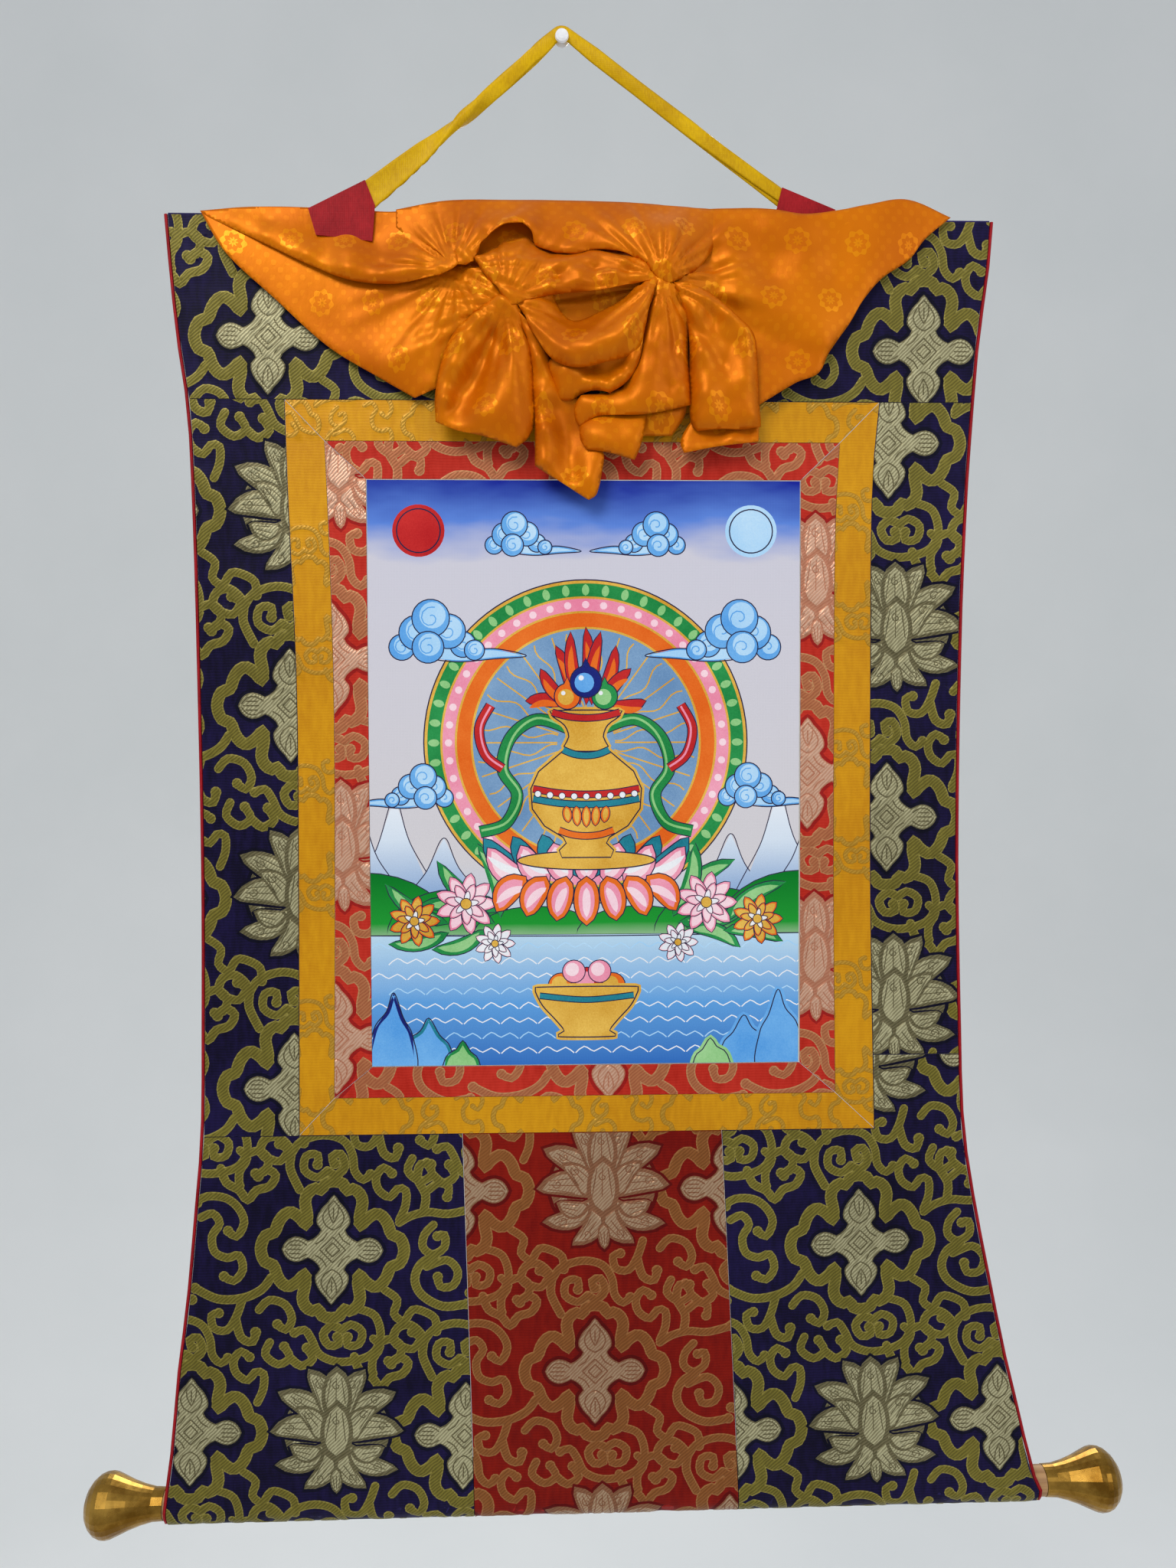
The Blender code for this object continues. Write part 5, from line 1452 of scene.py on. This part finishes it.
def damask():
    """Satin silk with a round medallion and a fret woven in the same colour."""
    made = Nodes("orange_silk_damask").set(Sheen_Weight=0.0, Metallic=0.22, Specular_IOR_Level=0.45)
    made.set(Specular_Tint=(1.0, 0.62, 0.18, 1.0))
    times, plus, less = (
        lambda a, b, kind=kind: made.math(kind, a, b) for kind in ("MULTIPLY", "ADD", "SUBTRACT")
    )
    place = made.add("TexCoord").outputs["Object"]
    axes = made.add("SeparateXYZ", {"Vector": place})
    across = plus(times(axes.outputs["X"], 26.0), times(made.noise(place, 7, 2.0), 0.7))
    down = plus(times(axes.outputs["Z"], 24.0), times(axes.outputs["Y"], 14.0))
    stagger = times(made.math("FLOOR", down, 0.0), 0.5)
    u = less(made.math("FRACT", plus(across, stagger), 0.0), 0.5)
    v = less(made.math("FRACT", down, 0.0), 0.5)
    away = made.math("SQRT", plus(times(u, u), times(v, v)), 0.0)
    rings = made.math("SINE", times(away, 44.0), 0.0)
    petals = made.math("SINE", times(made.math("ARCTAN2", u, v), 8.0), 0.0)
    medallion = times(made.math("LESS_THAN", away, 0.27),
                      made.math("GREATER_THAN", plus(rings, times(petals, 0.8)), 0.1))
    squares = times(made.math("SINE", times(across, 25.0), 0.0), made.math("SINE", times(down, 25.0), 0.0))
    fret = times(made.math("GREATER_THAN", away, 0.36), made.math("GREATER_THAN", squares, 0.35))
    figure = made.math("MINIMUM", plus(medallion, times(fret, 0.28)), 1.0)
    dye = made.noise(made.place(), 18, 3.0)
    ground = made.ramp(dye, (0.35, srgb(192, 92, 0)), (0.65, srgb(212, 112, 0)))
    raised = made.ramp(dye, (0.35, srgb(208, 110, 0)), (0.65, srgb(230, 136, 8)))
    made.colour(made.mix(figure, ground, raised))
    made.rough(less(0.42, times(figure, 0.13)))
    crumple = made.noise(made.place((1, 1, 0.5)), 60, 4.0)
    made.bump(plus(times(crumple, 1.0), times(figure, 0.10)), 0.0009, 0.55)
    return made.made


SILK = damask()


def veil():
    verts, faces = [], []
    for phase, (edge, folds) in enumerate(VEIL.values()):
        more, corners = veil_layer(edge, folds, phase * NEXT_PHASE)
        faces += [[i + len(verts) for i in f] for f in corners]
        verts += more
    piece = new_piece("veil_silk", verts, faces, [SILK])
    silk = piece.modifiers.new("silk", "SOLIDIFY")
    silk.thickness, silk.offset = VEIL_SILK, 1.0
    silk.use_even_offset = False
    sew_on(piece)
    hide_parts("veil")
    return piece


veil_piece = veil()

# ---------------------------------------------------------------- The tabs
# Two folded scraps of the crimson cloth, sewn to the header's top edge. They hold the
# ends of the tape.
for name, flat in (("tab_left", (0.045, 0.030)), ("tab_right", (0.040, 0.022))):
    show(name, CRIMSON)

# ---------------------------------------------------------------- The hanging tape
# One yellow satin tape, 20 mm wide, from tab to tab over the pin. It is folded along
# its length, turns over once in its left half, and opens out flat at the left tab.
# The tape's cut width and the width that shows over the pin, in mm, and the arc and depth
# at which it goes over the pin, in metres.
TAPE_FLAT, TAPE_AT_PIN, TAPE_TURN, TAPE_PIN_Y = 20.0, 7.5, 0.0047, -0.0036
# Each foot's x and z, its stand off the mount, and the leg's sag.
TAPE_FEET = ((-0.152, -0.1235, 0.0034, 0.0025), (0.166, -0.1165, 0.00105, 0.0006))
# Distance from the pin as a share of the leg, the width that shows in mm, and the roll.
TAPE_LEGS = (
    ((0.0, TAPE_AT_PIN, 0), (0.05, 9.5, 0), (0.12, 10.6, 6), (0.28, 9.8, 14), (0.36, 9.0, 44), (0.42, 8.6, 76),
     (0.48, 9.0, 112), (0.55, 10.6, 152), (0.62, 13.2, 178), (0.72, 15.8, 180), (0.85, 18.0, 180),
     (1.0, 20.0, 180)),
    (
        (0.0, TAPE_AT_PIN, 0), (0.05, 8.5, 0), (0.12, 9.5, 10), (0.30, 9.0, 16), (0.55, 10.2, 8), (0.80, 10.8, 0),
        (1.0, 12.0, 0)
    ),
)
TAPE_ACROSS, TAPE_STEPS = 17, 60
# Its thickness, the crown across it, how far the fold's two halves lie apart and how far they
# open where it turns over, in metres; and the fold's rounding in mm.
TAPE_THICK, TAPE_CROWN, TAPE_LIFT, TAPE_OPEN, TAPE_ROUND = 0.0005, 0.0006, 0.00095, 0.0054, 0.8
YELLOW = satin("yellow_tape", srgb(190, 144, 0), srgb(222, 178, 2), 0.4, 40, sheen=0.0)


def tape_rows():
    """Middle line, outward direction, level, width that shows and roll, from foot to foot."""
    legs = []
    for (x, z, stand, sag), rows, sign in zip(TAPE_FEET, TAPE_LEGS, (-1, 1)):
        foot = np.array((x, z))
        lean = math.atan2(-z, abs(x)) - math.asin(TAPE_TURN / np.hypot(x, z))
        outward = np.array((sign * math.sin(lean), math.cos(lean)))
        touch = TAPE_TURN * outward
        leg = []
        for s in np.linspace(0, 1, TAPE_STEPS):
            place = touch + (foot - touch) * s - outward * sag * 4 * s * (1 - s)
            ease = s * s * (3 - 2 * s)
            level = TAPE_PIN_Y + (float(front_y(x, z)) - stand - TAPE_PIN_Y) * ease
            if place[1] < HEADER_TOP:
                level = float(front_y(place[0], place[1])) - stand
            width, roll = (float(np.interp(s, [r[0] for r in rows], [r[k] for r in rows])) for k in (1, 2))
            leg.append((place, outward, level, width, math.radians(roll)))
        legs.append((lean, leg))
    (left_lean, left), (right_lean, right) = legs
    over = []
    for angle in np.linspace(-left_lean, right_lean, 12)[1:-1]:
        outward = np.array((math.sin(angle), math.cos(angle)))
        over.append((TAPE_TURN * outward, outward, TAPE_PIN_Y, TAPE_AT_PIN, 0.0))
    return left[::-1] + over + right


def hanging_tape():
    verts, faces = [], []
    rows = tape_rows()
    for place, outward, level, width, roll in rows:
        whole = min(TAPE_FLAT, 2 * width)
        for across in np.linspace(0, whole, TAPE_ACROSS):
            beyond = across - width
            over = 0.5 + 0.5 * math.sin(max(-1.0, min(1.0, beyond / TAPE_ROUND)) * math.pi / 2)
            reach = (min(across, 2 * width - across) - width / 2) * MM
            crown = TAPE_CROWN * math.sin(math.pi * min(max(reach / MM / width + 0.5, 0), 1))
            lift = (TAPE_LIFT + TAPE_OPEN * math.sin(roll) ** 2) * (over - 0.5) + crown - TAPE_CROWN / 2
            flat = place + outward * (reach * math.cos(roll) - lift * math.sin(roll))
            verts.append(
                (flat[0], level - TAPE_THICK - lift * math.cos(roll) - reach * math.sin(roll), flat[1])
            )
    for i in range(len(rows) - 1):
        for j in range(TAPE_ACROSS - 1):
            a = i * TAPE_ACROSS + j
            faces.append((a, a + 1, a + 1 + TAPE_ACROSS, a + TAPE_ACROSS))
    piece = new_piece("satin_tape", verts, faces, [YELLOW])
    thick = piece.modifiers.new("tape", "SOLIDIFY")
    thick.thickness, thick.offset = TAPE_THICK, 0.0
    sew_on(piece)
    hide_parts("hanging_tape")
    return piece


tape_piece = hanging_tape()

# ---------------------------------------------------------------- The wall pin
# A white moulded plastic pin with a round head. Its steel point, which isn't built,
# goes into the wall, and the tape hangs on its shank.


def gloss_plastic():
    made = Nodes("white_pin_plastic").set(Roughness=0.18, Coat_Weight=0.3)
    made.colour(
        made.ramp(made.noise(made.place(), 300), (0.3, srgb(226, 226, 230)), (0.7, srgb(240, 240, 242)))
    )
    made.bump(made.noise(made.place(), 500), 0.00003, 0.3)
    return made.made


show("wall_pin", gloss_plastic())

# ---------------------------------------------------------------- Stage, light and camera
# A pale floor curves up into a far backdrop under soft lamps, and the camera stands as
# for the photo.
# The stage in metres: its floor, where the floor starts to curve up, the curve's radius,
# the wall's top, the near edge and half its width.
FLOOR_Z, CURVE_Y, CURVE, WALL_TOP, NEAR_EDGE, HALF_STAGE = -2.6, 2.2, 2.0, 6.0, -6.0, 8.0


def backdrop():
    profile = [(NEAR_EDGE, FLOOR_Z), (CURVE_Y, FLOOR_Z)]
    for a in np.linspace(0.1, math.pi / 2, 12):
        profile.append((CURVE_Y + CURVE * math.sin(a), FLOOR_Z + CURVE * (1 - math.cos(a))))
    profile.append((CURVE_Y + CURVE, WALL_TOP))
    verts = [(x, y, z) for y, z in profile for x in (-HALF_STAGE, HALF_STAGE)]
    faces = [(2 * i, 2 * i + 1, 2 * i + 3, 2 * i + 2) for i in range(len(profile) - 1)]
    wall = Nodes("pale_wall").set(Roughness=0.9)
    wall.colour(
        wall.ramp(wall.noise(wall.place(), 1.2), (0.3, srgb(236, 238, 237)), (0.7, srgb(242, 243, 242)))
    )
    piece = new_piece("backdrop", verts, faces, [wall.made])


backdrop()

world = bpy.data.worlds.new("soft")
bpy.context.scene.world = world
bpy.context.scene.view_settings.view_transform = "Standard"
world.use_nodes = True
world.node_tree.nodes["Background"].inputs["Color"].default_value = (0.84, 0.88, 0.93, 1)
world.node_tree.nodes["Background"].inputs["Strength"].default_value = 0.57


def softbox(name, place, aim, size, power, colour):
    light = bpy.data.lights.new(name, "AREA")
    light.shape, light.size, light.energy, light.color = "DISK", size, power, colour
    lamp = bpy.data.objects.new(name, light)
    lamp.location = place
    lamp.rotation_euler = (Vector(aim) - Vector(place)).to_track_quat("-Z", "Y").to_euler()
    bpy.context.scene.collection.objects.link(lamp)


softbox("key", (-1.0, -2.2, 1.5), (0, 0, -0.4), 1.4, 46, (1.0, 0.97, 0.92))
softbox("fill", (1.8, -1.8, 0.2), (0, 0, -0.5), 1.8, 13, (0.95, 0.97, 1.0))
softbox("back", (0.5, 2.6, 1.2), (0, 0, -0.4), 1.8, 46, (0.97, 0.98, 1.0))

CAMERA_PLACE = (-0.0100, -0.8697, -0.4480)
YAW, PITCH, ROLL = math.radians(1.77), math.radians(-3.96), math.radians(-0.12)


def camera():
    forward = Vector((math.sin(YAW) * math.cos(PITCH), math.cos(YAW) * math.cos(PITCH), math.sin(PITCH)))
    right = Vector((math.cos(YAW), -math.sin(YAW), 0.0))
    up = right.cross(forward)
    r = right * math.cos(ROLL) + up * math.sin(ROLL)
    u = up * math.cos(ROLL) - right * math.sin(ROLL)
    data = bpy.data.cameras.new("camera")
    data.sensor_width, data.lens = 36.0, 28.125
    data.clip_start = 0.01
    made = bpy.data.objects.new("camera", data)
    made.matrix_world = Matrix((
        (r.x, u.x, -forward.x, CAMERA_PLACE[0]),
        (r.y, u.y, -forward.y, CAMERA_PLACE[1]),
        (r.z, u.z, -forward.z, CAMERA_PLACE[2]),
        (0, 0, 0, 1),
    ))
    bpy.context.scene.collection.objects.link(made)
    bpy.context.scene.camera = made


camera()
